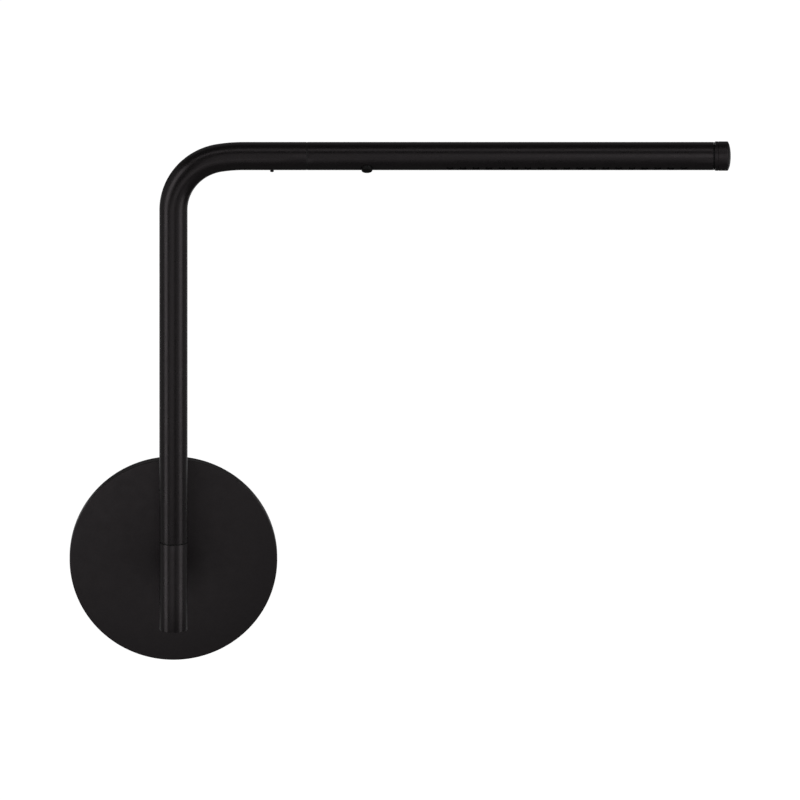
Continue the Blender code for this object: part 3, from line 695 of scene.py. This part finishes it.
def lights():
    softbox("left_box", -66, 3, 1.8, 0.8, 2.3, 1.3)
    softbox("right_box", 61, 8, 1.8, 0.95, 2.8, 1.2)
    softbox("front_box", -2, 12, 3.1, 1.75, 3.1, 0.32)
    softbox("tip_box", 21, 24, 0.95, 0.4, 0.42, 0.62)
    softbox("low_left_box", -22, -15, 0.9, 0.58, 0.48, 0.45)
    softbox("low_right_box", 29, -15, 0.9, 0.5, 0.48, 0.3)
    softbox("top_box", 0, 68.5, 1.8, 3.0, 0.42, 0.72)
    softbox("low_box", 0, -72, 1.8, 2.4, 2.4, 0.05)
    softbox("left_side_box", -105, 4, 2.2, 1.9, 2.4, 0.14)
    softbox("right_side_box", 105, 4, 2.2, 1.9, 2.4, 0.15)
    softbox("back_box", 180, 35, 2.2, 3.0, 2.0, 0.11)
    softbox("low_back_box", 180, -22, 2.0, 3.3, 1.3, 0.32)


def stage():
    """A pale floor, and a plain room that is white to look at and dim in reflections."""
    bpy.context.scene.view_settings.view_transform = "Standard"
    world = bpy.data.worlds.new("room")
    bpy.context.scene.world = world
    world.use_nodes = True
    tree = world.node_tree
    dim = tree.nodes["Background"]
    dim.inputs["Color"].default_value = (1.0, 0.97, 0.98, 1)
    dim.inputs["Strength"].default_value = 0.03
    white = tree.nodes.new("ShaderNodeBackground")
    white.inputs["Color"].default_value = (1, 1, 1, 1)
    seen = tree.nodes.new("ShaderNodeLightPath")
    mix = tree.nodes.new("ShaderNodeMixShader")
    tree.links.new(seen.outputs["Is Camera Ray"], mix.inputs["Fac"])
    tree.links.new(dim.outputs["Background"], mix.inputs[1])
    tree.links.new(white.outputs["Background"], mix.inputs[2])
    tree.links.new(mix.outputs["Shader"], tree.nodes["World Output"].inputs["Surface"])

    half = FLOOR_SIZE / 2
    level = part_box("wall_plate")[0].z - FLOOR_DROP
    mesh = bpy.data.meshes.new("floor")
    mesh.from_pydata([(-half, -half, level), (half, -half, level), (half, half, level), (-half, half, level)],
                     [], [(0, 1, 2, 3)])
    floor = placed("floor", mesh)
    glow = {"Specular IOR Level": 0.0, "Emission Color": (1, 1, 1, 1), "Emission Strength": 1.0}
    pale = Finish("pale_floor", (0.85, 0.85, 0.85), 0.9, 0, glow)
    mesh.materials.append(pale.material)
    floor.visible_glossy = False
    floor.visible_diffuse = False


# ---- wall base


def bar(name, radius, low, high, space, sides=48):
    """A plain round bar along Z."""
    return turned(name, [(0, low), (radius, low), (radius, high), (0, high)], space, sides)


def band(bore, radius, low, high, inner, outer):
    """The corners of a ring's section, with a fillet for its bore and one for its outside."""
    return [(bore, low, inner), (radius, low, outer), (radius, high, outer), (bore, high, inner)]


def hollow(name, bore, radius, low, high, space, edge, sides):
    """A round bush or washer along Z, with rounded edges."""
    return turned(name, band(bore, radius, low, high, edge, edge), space, sides, True)


def middle(name, space=WALL):
    low, high = extent(name, space)
    return (low + high) / 2


def wall_plate():
    low, high = extent("wall_plate")
    radius, front = high.x, low.y
    inside = front + PLATE_WALL
    bore = NIPPLE_CLEARANCE
    rim = radius - PLATE_WALL
    corners = [(radius, 0, 0.0001), (radius, front, PLATE_EDGE), (bore, front, 0.0002)]
    corners += [(bore, inside, 0.0002), (rim, inside, 0.0006), (rim, 0, 0.0001)]
    plate = turned("wall_plate", corners, ALONG_Y, 256, True, 6)
    reach, side = radius + GAP, shift(y=middle("plate_screw_left").y) @ ALONG_X
    drill = bar("plate_drill", PLATE_HOLE_RADIUS, -reach, reach, side)
    show(combined(plate, [drill]), "plate_coat")


def mounting_bracket():
    low, high = extent("mounting_bracket")
    end, half, wall = high.x, high.z, BRACKET_WALL
    ear, lip = end - wall, 0.0003
    corners = [(-end, 0, 0.0018), (end, 0, 0.0018), (end, low.y, lip), (ear, low.y, lip)]
    corners += [(ear, -wall, 0.0005), (-ear, -wall, 0.0005), (-ear, low.y, lip), (-end, low.y, lip)]
    strap = extruded("mounting_bracket", corners, -half, half, WALL, 6)
    across = shift(y=middle("plate_screw_left").y) @ ALONG_X
    ground = shift(middle("ground_screw").x) @ ALONG_Y
    tools = [bar("ear_drill", PLATE_HOLE_RADIUS, -end - GAP, end + GAP, across),
             bar("wire_drill", WIRE_HOLE_RADIUS, -wall * 2, wall, ALONG_Y, 96),
             bar("ground_drill", CLEARANCE_RADIUS, -wall * 2, wall, ground)]
    radius, fillet = BOX_SLOT_RADIUS, BOX_SLOT_RADIUS * 0.999
    # ALONG_Y lays a mesh's own X along the world's Z, and its Y along the world's X.
    for sign in (-1, 1):
        a, b = sorted((sign * BOX_SLOT_NEAR, sign * BOX_SLOT_FAR))
        slot = [(-radius, a, fillet), (radius, a, fillet), (radius, b, fillet), (-radius, b, fillet)]
        tools.append(extruded("box_slot", slot, -wall * 2, wall, ALONG_Y, 12))
    show(combined(strap, tools, bevel=0.00015))


def ground_screw():
    low, high = extent("ground_screw")
    centre = shift((low.x + high.x) / 2) @ ALONG_Y
    radius, under, top = (high.x - low.x) / 2, -BRACKET_WALL - 0.0001, low.y
    corners = [(0, under), (radius, under, 0.0001), (radius, under - 0.0006, 0.0003)]
    corners += [(radius * 0.72, top, 0.0004), (0, top)]
    head = turned("ground_screw", corners, centre, 64)
    reach, blade = radius * 0.62, 0.00035
    floor, over = top - 0.0005, top + 0.0008
    bars = (reach, blade), (blade, reach)
    head = combined(head, [block("cross", (-a, -b, floor), (a, b, over), centre) for a, b in bars])
    start = under - 0.0003
    shank = helix("ground_shank", GROUND_SHANK_RADIUS, start, high.y, GROUND_PITCH, 0.00025, 0, centre,
                  point=[(0.0008, start)])
    show(combined(head, [shank], "UNION"))


def set_screw(name, space, pitch, sign=1):
    """A headless screw along Z, with a hexagon socket at its high end."""
    low, high = extent(name, space)
    radius = (high.x - low.x) / 2
    start, end = (low.z, high.z) if sign > 0 else (-high.z, -low.z)
    tip = [(radius * 0.66, start), (radius * 0.72, start + radius * 0.05)]
    place = space if sign > 0 else space @ Matrix.Rotation(pi, 4, "Y")
    centre = shift((low.x + high.x) / 2 * sign, (low.y + high.y) / 2)
    show(helix(name, radius, start + radius * 0.3, end, pitch, pitch * 0.45, 0, place @ centre,
               socket=(radius * 0.5, radius * 0.9), point=tip))


def plate_screws():
    level = shift(y=middle("plate_screw_left").y) @ ALONG_X
    set_screw("plate_screw_right", level, PLATE_SCREW_PITCH)
    set_screw("plate_screw_left", level, PLATE_SCREW_PITCH, -1)


def nipple_and_nut():
    low, high = extent("threaded_nipple")
    thread = (high.x, low.y, high.y, NIPPLE_PITCH, 0.00045)
    show(helix("threaded_nipple", *thread, NIPPLE_BORE, ALONG_Y, 96))
    low, high = extent("lock_washer")
    half = (high.y - low.y) / 2
    section = rounded(band(NIPPLE_CLEARANCE, high.z, -half, half, 0.0001, 0.0002), True)
    centre = (low.y + high.y) / 2
    path = hoop(4, 356, 96, lambda angle: centre + 0.00022 * (angle / pi - 1))
    show(swept("lock_washer", path, section, ALONG_Y))
    low, high = extent("hex_nut")
    nut = extruded("hex_nut", circle(high.z, 6), low.y, high.y, ALONG_Y)
    rim, wide = high.z * 0.9, high.z * 1.02
    cone = [(0, low.y), (rim, low.y), (wide, low.y + 0.0005), (wide, high.y - 0.0005)]
    cone += [(rim, high.y), (0, high.y)]
    nut = combined(nut, [turned("nut_chamfer", cone, ALONG_Y, 96)], "INTERSECT")
    bore = bar("nut_bore", NIPPLE_CLEARANCE, low.y - GAP, high.y + GAP, ALONG_Y, 72)
    show(combined(nut, [bore], bevel=0.00008))


def standoff_post():
    low, high = extent("standoff_post")
    radius, front, sleeve = high.x, high.y, extent("swivel_sleeve", SWIVEL)[1].x
    start = swivel.y + SETTLED
    corners = [(0, start), (radius, start), (radius, front, 0.0003), (0, front)]
    post = turned("standoff_post", corners, ALONG_Y, 128)
    post = combined(post, [bar("saddle", sleeve + GAP, -0.03, 0.03, SWIVEL, 192)])
    post = combined(post, [bar("neck", NECK_RADIUS, low.y, swivel.y + 0.02, ALONG_Y, 96)], "UNION")
    nipple = extent("threaded_nipple")[0].y - GAP
    bore = [(0, 0.01), (NIPPLE_CLEARANCE, 0.01), (NIPPLE_CLEARANCE, nipple)]
    bore += [(POST_BORE, nipple - 0.001), (POST_BORE, swivel.y - 0.01), (0, swivel.y - 0.01)]
    show(combined(post, [turned("post_bore", bore, ALONG_Y, 96)], bevel=0.00012))


def swivel_sleeve():
    low, high = extent("swivel_sleeve", SWIVEL)
    stop = middle("swivel_stop_screw", SWIVEL)
    route = straight((0, 0, 1), (1, 0, 0), (0, 1, 0))
    holes = [(0.0, 0, NECK_HOLE_RADIUS, 0.0062), (stop.z, 0, STOP_HOLE_RADIUS, 0.0032)]
    wall = high.x - SLEEVE_BORE
    show(pierced_tube("swivel_sleeve", route, (low.z, high.z), high.x, wall, holes, SWIVEL))


def swivel_insides():
    """The stop screw, bushes, washers and plug of the swivel."""
    low, high = extent("swivel_stop_screw", SWIVEL)
    thin = STOP_TIP_RADIUS
    space = SWIVEL @ shift(z=(low.z + high.z) / 2) @ ALONG_Y
    point = [(thin * 0.75, low.y), (thin, low.y + 0.00025), (thin, STOP_TIP_END)]
    show(helix("swivel_stop_screw", high.x, STOP_THREAD_START, high.y, 0.0005, 0.0002, 0, space,
               socket=(0.0007, 0.0012), point=point))
    for name, gap in (("lower_bush", RUN), ("upper_bush", RUN), ("thrust_washer", GAP)):
        low, high = extent(name, SWIVEL)
        edge = min(0.0003, (high.z - low.z) * 0.3)
        show(hollow(name, PIVOT_RADIUS + gap, high.x, low.z, high.z, SWIVEL, edge, 96))
    low, high = extent("sleeve_end_plug", SWIVEL)
    corners = [(0, low.z), (high.x, low.z, 0.0004), (high.x, high.z, 0.0003), (0, high.z)]
    plug = turned("sleeve_end_plug", corners, SWIVEL, 96)
    key = extruded("key", circle(KEY_RADIUS, 6), low.z - GAP, low.z + KEY_DEPTH, SWIVEL)
    show(combined(plug, [key], bevel=0.0001))
    low, high = extent("wave_washer", SWIVEL)
    centre, half = (low.z + high.z) / 2, WAVE_HALF
    swing = (high.z - low.z) / 2 - half
    section = rounded(band(WAVE_BORE, WAVE_RADIUS, -half, half, 0.0001, 0.0001), True, 3)
    path = hoop(0, 357, 119, lambda angle: centre + swing * cos(3 * angle))
    show(swept("wave_washer", path, section, SWIVEL, True))


def base_cable():
    """Along the post, then up through the swivel on its axis."""
    high, turn = extent("supply_cable_base")[1], swivel.y + CABLE_BEND
    points = [(0, along, 0) for along in evenly(high.y, turn, 12)[:-1]]
    for angle in map(radians, evenly(0, 90, 24)):
        points.append((0, turn - CABLE_BEND * sin(angle), CABLE_BEND * (1 - cos(angle))))
    points.append((0, swivel.y, high.z))
    show(wire("supply_cable_base", points, high.x, (1, 0, 0), WALL))


# ---- arm


def arm_line():
    """The arm tube's line as a route, the stations round its bend, and its length and level start."""
    low, high = extent("arm_tube", SWIVEL)
    radius, ease, slack = high.y, EASE_ANGLE, EASE_RADIUS - BEND_RADIUS
    foot, top, end = low.z, high.z - radius, high.x
    upright = top - EASE_RADIUS + slack * sin(ease) - foot
    first, second = BEND_RADIUS * ease, EASE_RADIUS * (pi / 2 - ease)
    level = upright + first + second
    reach = BEND_RADIUS + slack * cos(ease)  # how far along X the level run starts

    def route(along):
        side = Vector((0, 1, 0))
        if along <= upright:
            return Vector((0, 0, foot + along)), side, Vector((1, 0, 0))
        if along >= level:
            return Vector((reach + along - level, 0, top)), side, Vector((0, 0, -1))
        past = along - upright
        if past <= first:
            lean, bend, offset = past / BEND_RADIUS, BEND_RADIUS, 0.0
        else:
            lean, bend, offset = ease + (past - first) / EASE_RADIUS, EASE_RADIUS, slack
        x = BEND_RADIUS - bend * cos(lean) + offset * cos(ease)
        z = foot + upright + bend * sin(lean) - offset * sin(ease)
        return Vector((x, 0, z)), side, Vector((cos(lean), 0, -sin(lean)))

    bends = evenly(upright, upright + first, 72) + evenly(level - second, level, 12)[1:]
    return route, bends, level + end - reach, level - reach


def arm_tube():
    route, bends, length, ahead = arm_line()
    radius = extent("arm_tube", SWIVEL)[1].y
    holes = [(middle("roll_stop_screw", SWIVEL).x + ahead, 0, ROLL_HOLE_RADIUS, 0.003)]
    show(pierced_tube("arm_tube", route, (0, length), radius, TUBE_WALL, holes, SWIVEL, bends, 128))


def sector_tool(name, inner, low, high, start, end, space):
    """A solid part of a ring about Z, to cut a groove that doesn't go all the way round."""
    section = [(inner, low), (inner + 0.003, low), (inner + 0.003, high), (inner, high)]
    return swept(name, hoop(start, end, 96), section, space)


def arm_pivot():
    low, high = extent("arm_pivot", SWIVEL)
    shoulder = extent("arm_tube", SWIVEL)[0].z + 0.00005
    edge = 0.0003
    corners = [(PIVOT_BORE, low.z, edge), (PIVOT_RADIUS, low.z, 0.0002), (PIVOT_RADIUS, CLIP_LOW)]
    corners += [(CLIP_FLOOR, CLIP_LOW), (CLIP_FLOOR, CLIP_HIGH), (PIVOT_RADIUS, CLIP_HIGH)]
    corners.append((PIVOT_RADIUS, shoulder, 0.0001))
    corners += [(high.x, shoulder, 0.0002), (high.x, high.z, edge), (PIVOT_BORE, high.z, edge)]
    pivot = turned("arm_pivot", corners, SWIVEL, 120, True)
    stop = middle("swivel_stop_screw", SWIVEL).z
    start, end = 90 - STOP_SPARE, 270 + STOP_SPARE
    groove = sector_tool("swivel_groove", PIVOT_FLOOR, stop - 0.0013, stop + 0.0013, start, end, SWIVEL)
    show(combined(pivot, [groove], bevel=0.00008))
    low, high = extent("retaining_ring", SWIVEL)
    section = rounded(band(CLIP_BORE, high.y, low.z, high.z, 0.0001, 0.0002), True, 3)
    show(swept("retaining_ring", hoop(25, 335, 96), section, SWIVEL))


def roll_stop_screw():
    low, high = extent("roll_stop_screw", SWIVEL)
    down = SWIVEL @ shift((low.x + high.x) / 2, z=roll.z) @ Matrix.Rotation(pi, 4, "X")
    tip, end = roll.z - high.z, roll.z - low.z
    point = [(0.0006, tip), (ROLL_TIP_RADIUS, tip + 0.0002), (ROLL_TIP_RADIUS, ROLL_TIP_END)]
    show(helix("roll_stop_screw", high.y, ROLL_THREAD_START, end, 0.0004, 0.00012, 0, down, 64,
               (0.0005, 0.0009), point))


def roll_bearings():
    level = SWIVEL @ shift(z=roll.z) @ ALONG_X
    for name, gap in (("roll_bush", RUN), ("roll_washer", GAP)):
        low, high = extent(name, SWIVEL)
        start, end, radius = low.x, high.x, high.y
        if name == "roll_washer":  # it fills the joint from tube to tube, a little below their skin
            start, end, radius = start - SEAT, end + SEAT, extent("arm_tube", SWIVEL)[1].y - 0.00012
        edge = min(0.0003, (end - start) * 0.1)
        show(hollow(name, SPIGOT_RADIUS + gap, radius, start, end, level, edge, 128))


def arm_cable():
    route, bends, _, _ = arm_line()
    low, high = extent("supply_cable_arm", SWIVEL)
    points = [(0, 0, low.z)] + [route(along)[0] for along in bends] + [(high.x, 0, roll.z)]
    show(wire("supply_cable_arm", points, high.y, (0, 1, 0), SWIVEL))


# ---- head


def led_names():
    return [name for name in sorted(nodes) if name.startswith("led_") and name[4:].isdigit()]


def head_spigot():
    low, high = extent("head_spigot", HEAD)
    plug = extent("head_tube", HEAD)[0].x + 0.0001
    corners = [(SPIGOT_BORE, low.x, 0.0003), (SPIGOT_RADIUS, low.x, 0.0003), (SPIGOT_RADIUS, plug, 0.0001)]
    corners += [(high.y, plug, 0.0002), (high.y, high.x, 0.0004), (SPIGOT_BORE, high.x, 0.0003)]
    spigot = turned("head_spigot", corners, HEAD_LENGTH, 120, True)
    screw = middle("roll_stop_screw", SWIVEL).x
    low_turn, high_turn = joints["head_roll"]["range_deg"]
    place = 270 + degrees(atan2(press.y, press.z))
    start, end = place - high_turn - ROLL_SPARE, place - low_turn + ROLL_SPARE
    groove = sector_tool("roll_groove", SPIGOT_FLOOR, screw - 0.0012, screw + 0.0012, start, end, HEAD_LENGTH)
    fixing = middle("spigot_screw", HEAD).x
    drill = bar("spigot_drill", SPIGOT_HOLE_RADIUS, 0.005, 0.009, HEAD @ shift(fixing))
    show(combined(spigot, [groove, drill], bevel=0.00008), "turned_steel_level")
    set_screw("spigot_screw", HEAD, 0.0003)


def head_tube():
    low, high = extent("head_tube", HEAD)
    places = [middle(name, HEAD).x for name in led_names()]
    half = (places[1] - places[0]) / 2
    holes = [(place, 0, LED_HOLE_RADIUS, half) for place in places]
    holes.append((middle("switch_button", HEAD).x, 0, BUTTON_RADIUS + 0.0002, 0.005))
    sides = 96
    holes.append((middle("spigot_screw", HEAD).x, sides // 2, SPIGOT_HOLE_RADIUS, 0.003))
    route = straight((1, 0, 0), (0, 1, 0), (0, 0, -1))
    show(pierced_tube("head_tube", route, (low.x, high.x), high.y, TUBE_WALL, holes, HEAD, (), sides))


def head_box(name, fillet, bevel, drills=()):
    """A CAD box of the head, drilled, with its upright edges rounded and the others broken."""
    mesh = block(name, *extent(name, HEAD), HEAD, fillet)
    show(combined(mesh, drills, bevel=bevel))


def lamp_strip():
    """The heat sink, the board, the lamps and the clear bar with a domed nose in each hole."""
    low, high = extent("heat_sink", HEAD)
    flat, radius, channel, floor = low.z, high.y, 0.002, 0.0025
    start, side = asin(flat / radius), acos(channel / radius)
    right = [(radius * cos(a), radius * sin(a)) for a in evenly(start, side, 24)]
    left = [(-a, b) for a, b in reversed(right)]
    outline = right + [(channel, floor, 0.0003), (-channel, floor, 0.0003)] + left
    show(combined(extruded("heat_sink", outline, low.x, high.x, HEAD_LENGTH), [], bevel=0.0002))
    head_box("led_board", 0.0004, 0.00006)
    turn = Matrix.Rotation(pi, 4, "X")
    for name in led_names():
        low, high = extent(name, HEAD)
        centre = (low + high) / 2
        half = high.y
        rim, top = -low.z - 0.0002, -low.z
        case = block("case", (centre.x - half, -half, -rim), (centre.x + half, half, high.z), HEAD, 0.0003)
        corners = [(0, rim), (half * 0.85, rim), (half * 0.5, top - 0.00003, 0.0003), (0, top)]
        dome = turned("dome", corners, HEAD @ shift(centre.x) @ turn, 32)
        show(merged(name, [case, dome]))
    # The clear bar takes its slot's finish, whose near-black colour is painted shade for the dark inside of
    # each hole.
    low, high = extent("lens_strip", HEAD)
    radius, base = LED_HOLE_RADIUS - 0.00035, -LENS_INNER - 0.0006
    strip = block("lens_strip", (low.x, low.y, LENS_INNER), (high.x, high.y, high.z), HEAD, 0.0005)
    nose = [(0, base), (radius, base)]
    for angle in map(radians, range(90, -1, -6)):
        nose.append((radius * sin(angle), -low.z - LENS_DOME * (1 - cos(angle))))
    noses = [turned("nose", nose, HEAD @ shift(middle(name, HEAD).x) @ turn, 48) for name in led_names()]
    show(combined(strip, [merged("noses", noses)], "UNION", 35, 0.00008))


def driver():
    """The driver's board with its parts, and the push switch."""
    low, high = extent("driver_board", HEAD)
    drills = []
    for share, side in ((0.04, 0.7), (0.04, -0.7), (0.96, 0.7), (0.96, -0.7)):
        spot = shift(low.x + (high.x - low.x) * share, high.y * side)
        drills.append(bar("board_hole", 0.0006, low.z - GAP, high.z + GAP, HEAD @ spot, 24))
    head_box("driver_board", 0.0005, 0.00006, drills)
    head_box("driver_chip", 0.0002, 0.00015)
    low, high = extent("capacitor", HEAD)
    radius, centre = high.y, (low.z + high.z) / 2
    neck = high.x - 0.0015
    corners = [(0, low.x), (radius, low.x, 0.0004), (radius, neck - 0.0004, 0.0002)]
    corners += [(radius - 0.00025, neck, 0.0002), (radius, neck + 0.0004, 0.0002), (radius, high.x, 0.0004)]
    corners.append((0, high.x))
    show(turned("capacitor", corners, HEAD @ shift(z=centre) @ ALONG_X, 64))
    low, high = extent("choke", HEAD)
    radius, base, core = high.y, low.z, 0.0021
    start, end = base + COIL_START, base + COIL_END
    corners = [(0, base), (radius, base, 0.0002), (radius, start, 0.0002)]
    for step in range(COIL_TURNS):
        height = start + (end - start) * (step + 0.5) / COIL_TURNS
        corners += [(core - 0.0001, height - 0.0001), (core + 0.00005, height)]
    corners += [(core - 0.0001, end), (radius, end, 0.0002), (radius, high.z, 0.0002), (0, high.z)]
    show(turned("choke", corners, HEAD @ shift((low.x + high.x) / 2), 64))
    head_box("switch_body", 0.0003, 0.0002)


def end_cap():
    low, high = extent("end_cap", HEAD)
    centre, half = middle("cap_ring", HEAD).x, 0.0009
    tube = extent("head_tube", HEAD)[1]
    radius, plug = high.y, tube.y - TUBE_WALL - GAP
    floor, shoulder, line = plug - 0.0007, tube.x + CAP_START, tube.x + CAP_LINE
    start, end = centre - half, centre + half
    corners = [(0, low.x), (plug, low.x, 0.0004), (plug, start, 0.0001), (floor, start, 0.0001)]
    corners += [(floor, end, 0.0001), (plug, end, 0.0001), (plug, shoulder, 0.0001)]
    corners += [(radius, shoulder, 0.00015), (radius, line - 0.0002, 0.00005)]
    corners += [(radius - 0.0002, line, 0.00004), (radius, line + 0.0002, 0.00005)]
    for share in evenly(1, 0, 12):
        sunk = CAP_DOME * (1 - sqrt(1 - (CAP_FLAT * share) ** 2))
        corners.append((radius * share, high.x - sunk, 0.0005 if share == 1 else 0))
    show(turned("end_cap", corners, HEAD_LENGTH, 128, False, 12), "plate_coat")
    # The ring in the joint is painted shade: its dull black finish stands for the shaded slit between the
    # tube and the cap.
    start, end = tube.x + SLIT, shoulder - SLIT
    seam = hollow("cap_seam", plug + SLIT, tube.y - 0.0001, start, end, HEAD_LENGTH, 0.0001, 128)
    show(seam, "seam_rubber", beside="cap_ring")
    low, high = extent("cap_ring", HEAD)
    bead = (high.x - low.x) / 2
    ring = [(high.y - bead + a, centre + b) for a, b in circle(bead, 16)]
    show(turned("cap_ring", ring, HEAD_LENGTH, 96, True))


def head_cables():
    low, high = extent("supply_cable_head", HEAD)
    points = [(along, 0, 0) for along in evenly(low.x, high.x, 10)]
    show(wire("supply_cable_head", points, high.y, (0, 1, 0), HEAD))
    low, high = extent("led_lead", HEAD)
    radius, points = high.y, []
    for share in evenly(0, 1, 32):
        drop = 0.5 - 0.5 * cos(pi * share)
        level = high.z - radius + (low.z + radius - high.z + radius) * drop
        points.append((low.x + (high.x - low.x) * share, 0, level))
    show(wire("led_lead", points, radius, (0, 1, 0), HEAD, 16))


def switch_button():
    low, high = extent("switch_button", HEAD)
    space = HEAD @ shift((low.x + high.x) / 2)
    tip, collar, radius = low.z, high.y, BUTTON_RADIUS
    corners = [(0, BUTTON_TOP), (BUTTON_STEM, BUTTON_TOP, 0.0001), (BUTTON_STEM, BUTTON_STEP)]
    corners += [(collar, BUTTON_STEP, 0.0001), (collar, BUTTON_SEAT, 0.0001), (radius, BUTTON_SEAT, 0.0001)]
    corners += [(radius, tip, 0.00025), (radius * 0.66, tip, 0.0003), (0, tip + 0.00012)]
    show(turned("switch_button", corners, space, 96, False, 8))


# ---- the whole scene


def main():
    surroundings = (camera, lights, stage)
    base = (wall_plate, mounting_bracket, ground_screw, plate_screws, nipple_and_nut, standoff_post,
            swivel_sleeve, swivel_insides, base_cable)
    arm = (arm_tube, arm_pivot, roll_stop_screw, roll_bearings, arm_cable)
    head = (head_spigot, head_tube, lamp_strip, driver, end_cap, head_cables, switch_button)
    for build in surroundings + base + arm + head:
        build()


main()
